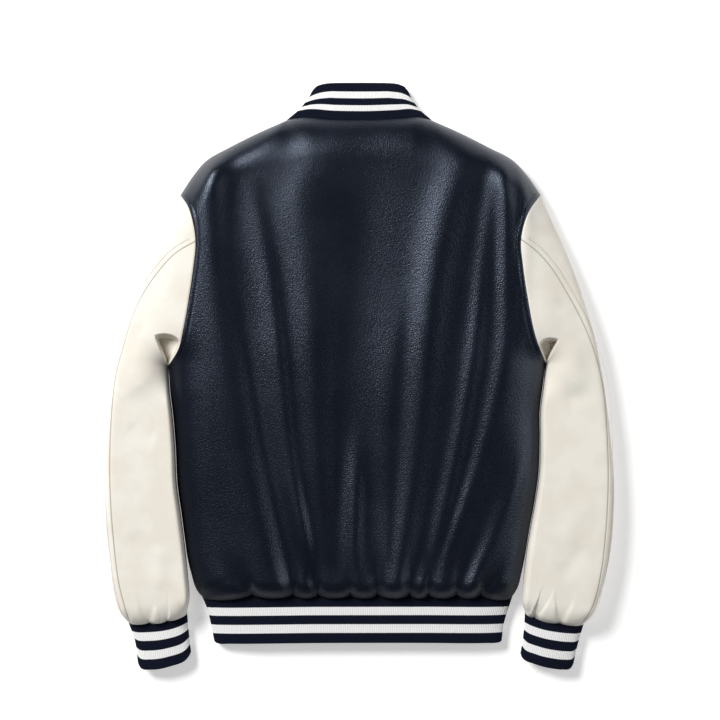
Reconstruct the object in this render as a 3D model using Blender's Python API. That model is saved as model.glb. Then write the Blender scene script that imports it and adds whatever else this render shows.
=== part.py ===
"""Varsity jacket laid flat, back up: leather body, leather sleeves, striped rib trims.

Metres, +Z up. The jacket lies face down, so +Y points to its collar and +X to its
wearer's right. The origin is the middle of its footprint, on the surface it lies on.
Plan tables give (out, up): out is the distance from the centre line towards the side
that the table is for, up is along +Y.
"""

import bpy
import numpy as np

# Cloth
LEATHER = 0.0020            # wall of the leather panels
RIB_WALL = 0.0030           # wall of the doubled rib knit
SEAM_GAP = 0.0003           # between two pieces that are sewn together

# Heights above the surface
EDGE_HEIGHT = 0.018         # where the upper and the lower layer meet at the outline
RIB_EDGE_HEIGHT = 0.012     # the same on hem and cuffs
BODY_CROWN = 0.060          # highest part of the back
HEM_CROWN = 0.048           # the back just above the hem
SLEEVE_CROWN = 0.047
RIB_CROWN = 0.026           # hem rib at the centre back
CUFF_CROWN = 0.027
COLLAR_TOP = 0.025          # folded edge of the collar at the centre back
COLLAR_SIDE = 0.011         # folded edge of the collar at its sides

# How far in from an edge a layer keeps rounding
BODY_ROUND = 0.056
RIB_ROUND = 0.060
UNDER_ROUND = 0.016         # underside of the leather
RIB_UNDER_ROUND = 0.011     # underside of the ribs
ROLL = 0.024                # leather rolling over a gathered seam
HEAD_BLEND = 0.090          # below the armhole, from the body's height to the sleeve's own
CROWN_FROM = 0.050          # up: from here down to the hem the crown falls to the hem's
CROWN_RUN = 0.300
CORNER_BLEND = 4.0          # higher: two rounding edges meet in a sharper corner

# Front closing, on the underside
PLACKET = 0.014             # each front edge reaches this far past the centre line
CHANNEL = 0.0016            # room that the snap caps lift the outer placket by
CHANNEL_HALF = 0.012
CHANNEL_RAMP = 0.012
INNER_END_FROM = 0.038      # out: the inner layer starts to climb onto the outer one here
INNER_END_RAMP = 0.014
COLLAR_END = 0.002          # collar end to the centre line
SNAP_RADIUS = 0.0075
SNAP_THICK = 0.0013
SNAP_BEVEL = 0.0006
SNAP_SIDES = 14
SNAP_TOP = 0.232            # up, first and last snap of the leather fronts
SNAP_LOW = -0.262
SNAPS_ON_FRONTS = 6
SNAP_ON_HEM = -0.318

# Rib knit: raised ribs on the side that shows
RIB_PITCH = 0.005
RIB_RELIEF = 0.0008
HEM_NARROWS_FROM = 0.040    # out: the hem's lower ends narrow with its sides from here on
HEM_NARROWS_RUN = 0.080

SHARP_ANGLE = 0.9           # radians; softer edges are shaded round

# Outline, (out, up)
NECK_LIFT = 0.0065          # the back goes on rising this far past its neck seam
NECK_SEAM = [(-0.0942, 0.3338), (-0.0774, 0.3364), (-0.0371, 0.3338), (0.0098, 0.3330),
             (0.0553, 0.3355), (0.0761, 0.3370), (0.0930, 0.3338)]
FRONT_NECK = [(0.0830, 0.2960), (0.0560, 0.2680), (0.0200, 0.2560), (-0.0140, 0.2550)]
COLLAR_FOLD = [(-0.0449, 0.3804), (-0.0370, 0.3812), (-0.0200, 0.3813), (0.0200, 0.3813),
               (0.0370, 0.3812), (0.0462, 0.3804)]
COLLAR_FRONT_FOLD = [(0.0455, 0.3804), (0.0420, 0.3500), (0.0280, 0.3180), (0.0020, 0.3040)]
HEM_FOLD = [(-0.1890, -0.3458), (-0.1877, -0.3470), (-0.1842, -0.3480), (-0.1700, -0.3479),
            (-0.0600, -0.3467), (0.0900, -0.3465), (0.1660, -0.3470), (0.1800, -0.3469),
            (0.1834, -0.3462), (0.1846, -0.3452)]
HEM_LEVEL = -0.2826         # the hem seam at its pinches
HEM_FRONT_LEVEL = -0.2875   # the hem seam on the fronts, and at both corners
HEM_SCALLOP = 0.0060        # how far the leather hangs over between two pinches
SCALLOP_FULLNESS = 0.7      # below 1 a scallop is rounder than a parabola

SIDES = {
    "left": {
        "sign": -1,
        "shoulder": [(0.0942, 0.3338), (0.1391, 0.3136), (0.1689, 0.2985), (0.2018, 0.2790),
                     (0.2167, 0.2613), (0.2334, 0.2361)],
        "armhole": [(0.2334, 0.2361), (0.2227, 0.2218), (0.2144, 0.1976), (0.2113, 0.1737),
                    (0.2144, 0.1399), (0.2193, 0.1061), (0.2259, 0.0684), (0.2343, 0.0346),
                    (0.2490, 0.0125)],
        "outer": [(0.2334, 0.2361), (0.2529, 0.1932), (0.2750, 0.1386), (0.2958, 0.0801),
                  (0.3133, 0.0255), (0.3218, -0.0174), (0.3275, -0.0640), (0.3305, -0.1400),
                  (0.3296, -0.1994), (0.3241, -0.2410), (0.3205, -0.2774), (0.3127, -0.3034),
                  (0.3010, -0.3211)],
        "inner": [(0.2490, 0.0125), (0.2475, -0.0174), (0.2438, -0.0486), (0.2405, -0.0889),
                  (0.2379, -0.1422), (0.2327, -0.1799), (0.2275, -0.2202), (0.2236, -0.2579),
                  (0.2217, -0.2904), (0.2256, -0.3097)],
        "side": [(0.2490, 0.0125), (0.2461, 0.0000), (0.2437, -0.0174), (0.2405, -0.0486),
                 (0.2375, -0.0889), (0.2349, -0.1422), (0.2297, -0.1799), (0.2250, -0.2150),
                 (0.2230, -0.2319), (0.2181, -0.2560), (0.2107, -0.2800), (0.2048, -0.2875)],
        "back_seam": [(0.2113, 0.1737), (0.2366, 0.1594), (0.2594, 0.1360), (0.2789, 0.1087),
                      (0.2934, 0.0801), (0.3049, 0.0411), (0.3146, 0.0060), (0.3194, -0.0330),
                      (0.3218, -0.0694), (0.3227, -0.1344), (0.3175, -0.2150), (0.3115, -0.2644),
                      (0.2970, -0.3211)],
        "seam_inset": [(0.0, 0.0), (0.04, 0.0012), (1.0, 0.0012)],
        "cuff_seam": [(0.3010, -0.3211), (0.2800, -0.3200), (0.2500, -0.3170), (0.2256, -0.3097)],
        "cuff_pinches": [0.36, 0.66],
        "cuff_outer": [(0.3010, -0.3211), (0.2932, -0.3424), (0.2886, -0.3740)],
        "cuff_fold": [(0.2886, -0.3740), (0.2850, -0.3798), (0.2704, -0.3813), (0.2465, -0.3769),
                      (0.2240, -0.3670), (0.2204, -0.3606)],
        "cuff_inner": [(0.2256, -0.3097), (0.2232, -0.3366), (0.2204, -0.3606)],
        "hem_side": [(0.2048, -0.2875), (0.1994, -0.3000), (0.1934, -0.3227), (0.1890, -0.3458)],
        "tuck": {"top": (0.2653, 0.0480), "depth": 0.013, "lip": 0.0560},
    },
    "right": {
        "sign": 1,
        "shoulder": [(0.0930, 0.3338), (0.1290, 0.3180), (0.1678, 0.2985), (0.2006, 0.2807),
                     (0.2185, 0.2613), (0.2356, 0.2365)],
        "armhole": [(0.2356, 0.2365), (0.2184, 0.2133), (0.2087, 0.1841), (0.2077, 0.1763),
                    (0.2103, 0.1418), (0.2168, 0.0996), (0.2282, 0.0476), (0.2418, 0.0164)],
        "outer": [(0.2356, 0.2365), (0.2490, 0.2049), (0.2724, 0.1516), (0.2971, 0.0801),
                  (0.3075, 0.0411), (0.3153, 0.0021), (0.3218, -0.0434), (0.3275, -0.0954),
                  (0.3305, -0.1520), (0.3299, -0.1799), (0.3270, -0.2189), (0.3205, -0.2553),
                  (0.3127, -0.2839), (0.3036, -0.3073), (0.2916, -0.3232)],
        "inner": [(0.2418, 0.0164), (0.2392, -0.0109), (0.2353, -0.0434), (0.2353, -0.0824),
                  (0.2334, -0.1279), (0.2288, -0.1604), (0.2217, -0.1994), (0.2165, -0.2319),
                  (0.2126, -0.2709), (0.2113, -0.2943), (0.2162, -0.3091)],
        "side": [(0.2418, 0.0164), (0.2388, 0.0030), (0.2356, -0.0109), (0.2325, -0.0434),
                 (0.2323, -0.0824), (0.2304, -0.1279), (0.2258, -0.1604), (0.2190, -0.1994),
                 (0.2129, -0.2384), (0.2100, -0.2566), (0.2060, -0.2743), (0.1984, -0.2875)],
        "back_seam": [(0.2077, 0.1763), (0.2282, 0.1613), (0.2477, 0.1401), (0.2672, 0.1093),
                      (0.2899, 0.0671), (0.3062, 0.0248), (0.3159, -0.0207), (0.3198, -0.0694),
                      (0.3215, -0.1344), (0.3179, -0.2060), (0.3127, -0.2514), (0.3000, -0.3000),
                      (0.2860, -0.3228)],
        "seam_inset": [(0.0, 0.0), (0.04, 0.0012), (0.30, 0.0012), (0.40, 0.0040), (0.75, 0.0080),
                       (1.0, 0.0070)],
        "cuff_seam": [(0.2916, -0.3232), (0.2603, -0.3200), (0.2395, -0.3165), (0.2162, -0.3091)],
        "cuff_pinches": [0.42, 0.86],
        "cuff_outer": [(0.2916, -0.3232), (0.2842, -0.3485), (0.2782, -0.3753)],
        "cuff_fold": [(0.2782, -0.3753), (0.2740, -0.3806), (0.2640, -0.3813), (0.2514, -0.3799),
                      (0.2275, -0.3739), (0.2120, -0.3668), (0.2102, -0.3625)],
        "cuff_inner": [(0.2162, -0.3091), (0.2145, -0.3336), (0.2102, -0.3625)],
        "hem_side": [(0.1984, -0.2875), (0.1944, -0.2999), (0.1876, -0.3220), (0.1846, -0.3452)],
        "tuck": {"top": (0.2548, 0.0420), "depth": 0.011, "lip": 0.0500},
    },
}

# Pinches of the hem seam across the back, x
HEM_PINCHES = [-0.1398, -0.0865, -0.0540, -0.0124, 0.0228, 0.0644, 0.0891, 0.1255, 0.1567]
PINCH_DEPTH = 0.0060
PINCH_WIDTH = 0.0080
PINCH_REACH = 0.0480
PINCH_START = 0.0040        # a pinch deepens to its full depth this far above the seam
CUFF_PINCH_DEPTH = 0.0040
CUFF_PINCH_WIDTH = 0.07     # of the cuff seam's length
CUFF_PINCH_REACH = 0.0280
CUFF_SCALLOP = 0.0026

# Armpit tuck: widths over which it reaches its depth
TUCK_SEAM = 0.0090          # from the armhole seam
TUCK_SIDE = 0.0060          # from its own outer edge
TUCK_LIP = 0.0100           # from the lip down
TUCK_FOOT = 0.0160          # at its lower end
TUCK_BELOW = 0.0120         # how far it goes on below the armpit

# Folds that run down the back. A crest's points are (x, y, height), a trough's heights are below
# 0, and left and right are the widths of its flanks at its upper and its lower end.
BACK_FOLDS = [
    {"crest": [(-0.192, 0.292, 0.009), (-0.193, 0.200, 0.007), (-0.181, 0.047, 0.004), (-0.163, -0.069, 0.004),
               (-0.126, -0.225, 0.006)],
     "left": (0.018, 0.036), "right": (0.020, 0.024)},
    {"crest": [(-0.150, 0.080, -0.001), (-0.139, 0.008, -0.003), (-0.122, -0.095, -0.003),
               (-0.099, -0.210, -0.002)],
     "left": (0.014, 0.012), "right": (0.012, 0.012)},
    {"crest": [(-0.131, 0.208, 0.002), (-0.119, 0.144, 0.003), (-0.108, 0.060, 0.004), (-0.088, -0.120, 0.004),
               (-0.073, -0.200, 0.006)],
     "left": (0.017, 0.012), "right": (0.012, 0.010)},
    {"crest": [(-0.052, 0.290, 0.004), (-0.074, 0.228, 0.005), (-0.066, 0.150, 0.005), (-0.056, -0.030, 0.004),
               (-0.048, -0.159, 0.004)],
     "left": (0.028, 0.012), "right": (0.042, 0.014)},
    {"crest": [(-0.005, -0.080, 0.001), (-0.006, -0.140, 0.005), (-0.010, -0.262, 0.005)],
     "left": (0.013, 0.014), "right": (0.012, 0.014)},
    {"crest": [(0.047, 0.060, 0.001), (0.038, -0.030, 0.002), (0.035, -0.159, 0.002), (0.032, -0.243, 0.003)],
     "left": (0.021, 0.012), "right": (0.012, 0.008)},
    {"crest": [(0.142, 0.305, 0.003), (0.114, 0.228, 0.007), (0.099, 0.144, 0.007), (0.075, -0.082, 0.005),
               (0.050, -0.256, 0.006)],
     "left": (0.031, 0.012), "right": (0.030, 0.014)},
    {"crest": [(0.176, 0.279, 0.002), (0.158, 0.137, 0.002), (0.149, 0.047, 0.003), (0.133, -0.056, 0.003),
               (0.090, -0.256, 0.003)],
     "left": (0.010, 0.012), "right": (0.012, 0.010)},
    {"crest": [(0.188, 0.273, 0.007), (0.189, 0.125, 0.004), (0.188, 0.047, 0.003), (0.166, -0.069, 0.003),
               (0.105, -0.256, 0.004)],
     "left": (0.012, 0.011), "right": (0.014, 0.024)},
    {"crest": [(0.212, 0.260, 0.006), (0.215, 0.195, 0.004), (0.210, 0.099, 0.002)],
     "left": (0.010, 0.008), "right": (0.010, 0.010)},
    {"crest": [(0.207, -0.133, 0.003), (0.179, -0.198, 0.003), (0.140, -0.273, 0.003)],
     "left": (0.018, 0.012), "right": (0.020, 0.014)},
    {"crest": [(0.011, 0.292, -0.001), (0.008, 0.202, -0.003), (0.001, 0.112, -0.003), (-0.028, -0.069, -0.003),
               (-0.030, -0.185, -0.002)],
     "left": (0.036, 0.026), "right": (0.044, 0.032)},
]
FOLD_RUNOUT = 0.8           # a fold dies out this far beyond its ends, in its own end spans
FOLD_FADE = 0.035           # folds die out this close to the outline

# Creases of the sleeves: a ridge has a height, a trough a negative one.
# top out, top up, middle out, middle up, low out, low up, half width, height
SLEEVE_FOLDS = {
    "left": [
        (0.282, 0.060, 0.268, 0.052, 0.250, 0.058, 0.012, 0.0030),
        (0.300, 0.018, 0.286, 0.014, 0.270, 0.022, 0.011, -0.0045),
        (0.300, -0.060, 0.282, -0.075, 0.262, -0.082, 0.014, -0.0020),
        (0.296, -0.200, 0.280, -0.225, 0.266, -0.262, 0.011, -0.0030),
        (0.262, -0.215, 0.258, -0.245, 0.256, -0.280, 0.010, 0.0028),
    ],
    "right": [
        (0.268, 0.098, 0.256, 0.088, 0.244, 0.082, 0.010, -0.0035),
        (0.300, -0.010, 0.284, -0.022, 0.262, -0.030, 0.013, -0.0035),
        (0.298, -0.150, 0.280, -0.190, 0.262, -0.215, 0.013, 0.0025),
        (0.292, -0.215, 0.276, -0.240, 0.252, -0.262, 0.011, -0.0028),
    ],
}

COLOURS = {
    "body": ((0.0110, 0.0160, 0.0330), 0.42, 0.0),
    "sleeve": ((0.790, 0.740, 0.650), 0.75, 0.0),
    "rib": ((0.0080, 0.0110, 0.0250), 0.90, 0.0),
    "snap": ((0.0150, 0.0200, 0.0350), 0.35, 0.6),
}


# Lines in plan

def smooth_curve(points, per_span=14):
    # A smooth line through the given points, its tangents by finite differences
    knots = np.array(points, float)
    spans = np.linalg.norm(np.diff(knots, axis=0), axis=1)
    travel = np.concatenate([[0.0], np.cumsum(spans)])
    tangents = np.gradient(knots, travel, axis=0)
    t = np.linspace(0.0, 1.0, per_span, endpoint=False)[:, None]
    pieces = []
    for i, span in enumerate(spans):
        pieces.append((2 * t**3 - 3 * t**2 + 1) * knots[i]
                      + (t**3 - 2 * t**2 + t) * span * tangents[i]
                      + (3 * t**2 - 2 * t**3) * knots[i + 1]
                      + (t**3 - t**2) * span * tangents[i + 1])
    return np.concatenate(pieces + [knots[-1:]])


def along(line, fractions):
    # Points at the given fractions of a line's length
    travel = np.concatenate([[0.0], np.cumsum(np.linalg.norm(np.diff(line, axis=0), axis=1))])
    where = np.asarray(fractions) * travel[-1]
    return np.column_stack([np.interp(where, travel, line[:, k]) for k in range(line.shape[1])])


def joined(*lines):
    # One line from several that meet end to end
    whole = np.concatenate(lines)
    step = np.linalg.norm(np.diff(whole, axis=0), axis=1)
    return whole[np.concatenate([[True], step > 1e-6])]


def distance(line, x, y):
    # Distance in plan from each point to the line
    start = line[:-1]
    span = line[1:] - start
    away = np.stack([x, y], -1)[..., None, :] - start
    t = np.clip((away * span).sum(-1) / (span * span).sum(-1), 0.0, 1.0)
    return np.sqrt(((away - t[..., None] * span)**2).sum(-1)).min(-1)


def rounded(t):
    # Quarter ellipse: steep at 0, level from 1 on
    return np.sqrt(1.0 - (1.0 - np.clip(t, 0.0, 1.0))**2)


def eased(t):
    t = np.clip(t, 0.0, 1.0)
    return t * t * (3.0 - 2.0 * t)


def placed(side, points):
    # A side's table in world x and y
    return np.array(points, float) * (SIDES[side]["sign"], 1.0)


LINES = {side: {name: smooth_curve(placed(side, table))
                for name, table in tables.items()
                if name not in ("sign", "seam_inset", "cuff_pinches", "tuck")}
         for side, tables in SIDES.items()}
for side_lines in LINES.values():
    side_lines["outline_outer"] = joined(side_lines["outer"], side_lines["cuff_outer"])
    side_lines["outline_inner"] = joined(side_lines["inner"], side_lines["cuff_inner"])
NECK = smooth_curve(NECK_SEAM)
NECK_HALF = (NECK[-1, 0] - NECK[0, 0]) / 2
NECK_EDGE = NECK + np.column_stack([np.zeros(len(NECK)),
                                    NECK_LIFT * (1.0 - (NECK[:, 0] / NECK_HALF)**2).clip(0.0)])
UPPER_OUTLINE = joined(LINES["left"]["outer"][::-1], LINES["left"]["shoulder"][::-1], NECK_EDGE,
                       LINES["right"]["shoulder"], LINES["right"]["outer"])


# Heights over the plan

def fold_relief(folds, x, y):
    # Sum of the folds down the back. Each follows its crest line, row by row, and swells and
    # sinks with the crest's own height.
    total = np.zeros_like(x)
    for fold in folds:
        crest = np.array(fold["crest"])
        above = crest[0] + FOLD_RUNOUT * (crest[0] - crest[1])
        below = crest[-1] + FOLD_RUNOUT * (crest[-1] - crest[-2])
        above[2] = below[2] = 0.0
        line = smooth_curve([above, *crest, below], 6)
        middle, height = [np.interp(-y, -line[:, 1], line[:, k]) for k in (0, 2)]
        place = np.clip((above[1] - y) / (above[1] - below[1]), 0.0, 1.0)
        left, right = [fold[flank][0] + (fold[flank][1] - fold[flank][0]) * place
                       for flank in ("left", "right")]
        total += height * np.exp(-((x - middle) / np.where(x < middle, left, right))**2)
    return total


def crease_relief(folds, x, y, sign):
    # Sum of the creases, each a smooth swell along a bent line that fades at both ends
    total = np.zeros_like(x)
    for top_x, top_y, mid_x, mid_y, low_x, low_y, half_width, height in folds:
        line = smooth_curve([(sign * top_x, top_y), (sign * mid_x, mid_y), (sign * low_x, low_y)], 8)
        start = line[:-1]
        span = line[1:] - start
        away = np.stack([x, y], -1)[..., None, :] - start
        t = np.clip((away * span).sum(-1) / (span * span).sum(-1), 0.0, 1.0)
        gap = ((away - t[..., None] * span)**2).sum(-1)
        nearest = gap.argmin(-1)
        place = (nearest + np.take_along_axis(t, nearest[..., None], -1)[..., 0]) / len(start)
        swell = np.exp(-np.take_along_axis(gap, nearest[..., None], -1)[..., 0] / half_width**2)
        total += height * swell * eased(place / 0.25) * eased((1.0 - place) / 0.25)
    return total


def hem_seam_level(x):
    # y of the hem seam: pinched up at each gather, hanging in a round scallop between two
    stops = np.array([-SIDES["left"]["side"][-1][0]] + HEM_PINCHES + [SIDES["right"]["side"][-1][0]])
    x = np.clip(x, stops[0], stops[-1])
    slot = np.clip(np.searchsorted(stops, x, side="right") - 1, 0, len(stops) - 2)
    t = (x - stops[slot]) / (stops[slot + 1] - stops[slot])
    hang = 4.0 * t * (1.0 - t)
    ends = np.where(slot == 0, 1.0 - t, np.where(slot == len(stops) - 2, t, 0.0))
    return HEM_LEVEL - HEM_SCALLOP * np.maximum(hang, 0.0)**SCALLOP_FULLNESS - ends * (HEM_LEVEL - HEM_FRONT_LEVEL)


def rib_height(x, y):
    # Upper layer of the hem rib
    halves = {side: np.interp(-y, -LINES[side]["hem_side"][:, 1], np.abs(LINES[side]["hem_side"][:, 0]))
              for side in SIDES}
    inside = np.minimum(x + halves["left"], halves["right"] - x)
    return RIB_EDGE_HEIGHT + (RIB_CROWN - RIB_EDGE_HEIGHT) * rounded(np.maximum(inside, 0.0) / RIB_ROUND)


def hem_mix(x, y):
    return rounded((y - hem_seam_level(x)) / ROLL)


def body_edge(x, y):
    # Height of the side seam, lower beside the hem
    return RIB_EDGE_HEIGHT + (EDGE_HEIGHT - RIB_EDGE_HEIGHT) * eased((y - hem_seam_level(x)) / ROLL)


def hem_pinch_relief(x, y):
    above = y - hem_seam_level(x)
    fade = np.exp(-(above / PINCH_REACH)**2) * eased(above / PINCH_START)
    return -sum(PINCH_DEPTH * np.exp(-((x - pinch) / PINCH_WIDTH)**2) for pinch in HEM_PINCHES) * fade


def body_height(x, y, sleeve=None):
    # Upper layer of the body. A sleeve's head uses it too, with the sleeve's inner edge
    # in place of the body's side below the armhole.
    lines = [UPPER_OUTLINE] + [LINES[side]["inner" if side == sleeve else "side"] for side in SIDES]
    closeness = sum(np.maximum(distance(line, x, y), 1e-7)**-CORNER_BLEND for line in lines)
    inside = closeness**(-1.0 / CORNER_BLEND)
    crown = BODY_CROWN + (HEM_CROWN - BODY_CROWN) * eased((CROWN_FROM - y) / CROWN_RUN)
    height = EDGE_HEIGHT + (crown - EDGE_HEIGHT) * rounded(inside / BODY_ROUND)
    height = height + fold_relief(BACK_FOLDS, x, y) * eased(inside / FOLD_FADE)
    if sleeve:
        return height
    height = height + hem_pinch_relief(x, y) * eased(inside / FOLD_FADE)
    return rib_height(x, y) + (height - rib_height(x, y)) * hem_mix(x, y)


def body_under(x, y):
    # Lower layer of the body: flat on the surface, rounding up to the outline
    inside = np.minimum(distance(UPPER_OUTLINE, x, y),
                        np.minimum(distance(LINES["left"]["side"], x, y),
                                   distance(LINES["right"]["side"], x, y)))
    return body_edge(x, y) * (1.0 - rounded(inside / UNDER_ROUND))


def sleeve_ratio(side, x, y):
    # 0 on the sleeve's outer edge, 1 on its inner edge
    outer = distance(LINES[side]["outline_outer"], x, y)
    inner = distance(LINES[side]["outline_inner"], x, y)
    return outer / np.maximum(outer + inner, 1e-9)


def cuff_height(side, x, y):
    ratio = sleeve_ratio(side, x, y)
    return RIB_EDGE_HEIGHT + (CUFF_CROWN - RIB_EDGE_HEIGHT) * rounded(2 * np.minimum(ratio, 1 - ratio))


def cuff_mix(side, x, y):
    return rounded(distance(LINES[side]["cuff_line"], x, y) / ROLL)


def armpit_tuck(side, x, y):
    # The sleeve folds in under its own edge below the armhole
    tuck = SIDES[side]["tuck"]
    top = np.array(tuck["top"])
    low = np.array(SIDES[side]["armhole"][-1])
    run = (low - top) / np.linalg.norm(low - top)
    out = np.abs(x)
    beside = (out - top[0]) * run[1] - (y - top[1]) * run[0]
    below = tuck["lip"] - y
    from_seam = distance(LINES[side]["armhole"], x, y)
    above_foot = y - low[1] + TUCK_BELOW
    return -tuck["depth"] * (eased(from_seam / TUCK_SEAM) * eased(beside / TUCK_SIDE)
                             * eased(below / TUCK_LIP) * eased(above_foot / TUCK_FOOT))


def sleeve_height(side, x, y):
    # Upper layer of a sleeve
    sign = SIDES[side]["sign"]
    ratio = sleeve_ratio(side, x, y)
    crosswise = rounded(2 * np.minimum(ratio, 1 - ratio))
    own = EDGE_HEIGHT + (SLEEVE_CROWN - EDGE_HEIGHT) * crosswise
    own = own + crease_relief(SLEEVE_FOLDS[side], x, y, sign) * crosswise
    from_armhole = distance(LINES[side]["armhole"], x, y)
    head = body_height(x, y, side)
    height = head + (own - head) * eased(from_armhole / HEAD_BLEND) + armpit_tuck(side, x, y)
    along_cuff = line_fraction(LINES[side]["cuff_line"], x, y)
    from_cuff = distance(LINES[side]["cuff_line"], x, y)
    pinch = sum(np.exp(-((along_cuff - place) / CUFF_PINCH_WIDTH)**2)
                for place in SIDES[side]["cuff_pinches"])
    fade = np.exp(-(from_cuff / CUFF_PINCH_REACH)**2)
    height = height - CUFF_PINCH_DEPTH * pinch * fade * crosswise
    cuff = cuff_height(side, x, y)
    return cuff + (height - cuff) * cuff_mix(side, x, y)


def sleeve_edge(side, x, y):
    from_cuff = distance(LINES[side]["cuff_line"], x, y)
    return RIB_EDGE_HEIGHT + (EDGE_HEIGHT - RIB_EDGE_HEIGHT) * eased(from_cuff / ROLL)


def sleeve_under(side, x, y):
    inside = np.minimum(distance(UPPER_OUTLINE, x, y), distance(LINES[side]["inner"], x, y))
    return sleeve_edge(side, x, y) * (1.0 - rounded(inside / UNDER_ROUND))


def line_fraction(line, x, y):
    # Where along the line its nearest point is, from 0 to 1
    start = line[:-1]
    span = line[1:] - start
    away = np.stack([x, y], -1)[..., None, :] - start
    t = np.clip((away * span).sum(-1) / (span * span).sum(-1), 0.0, 1.0)
    gap = ((away - t[..., None] * span)**2).sum(-1)
    nearest = gap.argmin(-1)
    return (nearest + np.take_along_axis(t, nearest[..., None], -1)[..., 0]) / len(start)


def cuff_seam_line(side):
    # The cuff seam with its pinches: the leather hangs in scallops between them
    plain = LINES[side]["cuff_seam"]
    stops = np.array([0.0] + SIDES[side]["cuff_pinches"] + [1.0])
    places = np.linspace(0.0, 1.0, 61)
    points = along(plain, places)
    slot = np.clip(np.searchsorted(stops, places, side="right") - 1, 0, len(stops) - 2)
    t = (places - stops[slot]) / (stops[slot + 1] - stops[slot])
    hang = CUFF_SCALLOP * (4.0 * t * (1.0 - t)).clip(0.0)**SCALLOP_FULLNESS
    down = np.array([0.0, -1.0])
    return points + hang[:, None] * down


for side_name, side_lines in LINES.items():
    side_lines["cuff_line"] = cuff_seam_line(side_name)


# Walls

def coons(top, low, first, last, across, down, fall=1.0):
    # Plan grid between four boundary lines; across and down are the blend positions. With a
    # fall above 1 the first line's own shape dies out sooner across the grid.
    u = np.asarray(across)[None, :, None]
    v = np.asarray(down)[:, None, None]
    first_bow = first[:, None] - ((1 - v) * first[0] + v * first[-1])
    last_bow = last[:, None] - ((1 - v) * last[0] + v * last[-1])
    return (1 - v) * top[None] + v * low[None] + (1 - u)**fall * first_bow + u * last_bow


def grid_normals(points):
    # Normals of a grid of points, by central differences
    normals = np.cross(np.gradient(points, axis=1), np.gradient(points, axis=0))
    return normals / np.maximum(np.linalg.norm(normals, axis=2), 1e-12)[..., None]


def height_normals(height, x, y):
    # Upward normals of a height over the plan
    step = 0.0004
    slope_x = (height(x + step, y) - height(x - step, y)) / (2 * step)
    slope_y = (height(x, y + step) - height(x, y - step)) / (2 * step)
    normals = np.stack([-slope_x, -slope_y, np.ones_like(slope_x)], -1)
    return normals / np.linalg.norm(normals, axis=-1)[..., None]


def level_inward(points, towards):
    # Level direction square to a line of points, pointing to the side where towards lies
    run = np.gradient(points[:, :2], axis=0)
    run /= np.linalg.norm(run, axis=1)[:, None]
    square = np.column_stack([-run[:, 1], run[:, 0], np.zeros(len(run))])
    facing = np.sign((square[:, :2] * (towards[:, :2] - points[:, :2])).sum(1))
    return square * np.where(facing == 0, 1.0, facing)[:, None]


def wall_object(name, outer, inner, colour, ring=False, apex=False):
    # A closed wall between two grids of points. A ring joins its last column to its first;
    # with an apex the whole first row is one point.
    rows, columns = outer.shape[:2]
    count = rows * columns
    faces = []
    last = columns if ring else columns - 1

    def index(row, column):
        return 0 if apex and row == 0 else row * columns + column % columns

    def rim(one, other):
        # The strip between outer and inner edge, split along a diagonal that the piece on the
        # other side of the seam picks too
        keys = [points[corner][1] + 0.37 * points[corner][0] for corner in (one, other)]
        if keys[0] <= keys[1]:
            return [(one, other, count + other), (one, count + other, count + one)]
        return [(one, other, count + one), (other, count + other, count + one)]

    points = np.concatenate([outer.reshape(-1, 3), inner.reshape(-1, 3)])
    for row in range(rows - 1):
        for column in range(last):
            a, b = index(row, column), index(row, column + 1)
            d, e = index(row + 1, column), index(row + 1, column + 1)
            faces.append((a, b, e, d))
            faces.append((count + a, count + d, count + e, count + b))
        if not ring:
            faces += rim(index(row, 0), index(row + 1, 0))
            faces += rim(index(row + 1, columns - 1), index(row, columns - 1))
    for column in range(last):
        faces += rim(index(0, column + 1), index(0, column))
        faces += rim(index(rows - 1, column), index(rows - 1, column + 1))
    faces = [tuple(dict.fromkeys(face)) for face in faces]
    faces = [face for face in faces if len(face) > 2]
    volume = sum(np.dot(points[face[0]], np.cross(points[face[i]], points[face[i + 1]]))
                 for face in faces for i in range(1, len(face) - 1))
    if volume < 0:
        faces = [face[::-1] for face in faces]
    used = sorted({corner for face in faces for corner in face})
    place = {corner: i for i, corner in enumerate(used)}
    return mesh_object(name, points[used], [tuple(place[corner] for corner in face) for face in faces],
                       colour)


def mesh_object(name, points, faces, colour):
    mesh = bpy.data.meshes.new(name)
    mesh.from_pydata([tuple(point) for point in points], [], faces)
    mesh.update()
    mesh.shade_smooth()
    mesh.set_sharp_from_angle(angle=SHARP_ANGLE)
    body = bpy.data.objects.new(name, mesh)
    bpy.context.scene.collection.objects.link(body)
    mesh.materials.append(finish(name, colour))
    return body


def finish(name, colour):
    shade, roughness, metallic = COLOURS[colour]
    material = bpy.data.materials.new(name + "_finish")
    material.use_nodes = True
    shader = material.node_tree.nodes["Principled BSDF"]
    shader.inputs["Base Color"].default_value = (*shade, 1.0)
    shader.inputs["Roughness"].default_value = roughness
    shader.inputs["Metallic"].default_value = metallic
    return material


def toward_inside(points, upward):
    # Grid normals turned to point into the wall: down under an upper layer, up over a lower one
    normals = grid_normals(points)
    middle = normals[normals.shape[0] // 2, normals.shape[1] // 2]
    wanted = -1.0 if upward else 1.0
    return normals if middle[2] * wanted > 0 else -normals


# Seams that two pieces share

HALF_GAP = SEAM_GAP / 2

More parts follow.
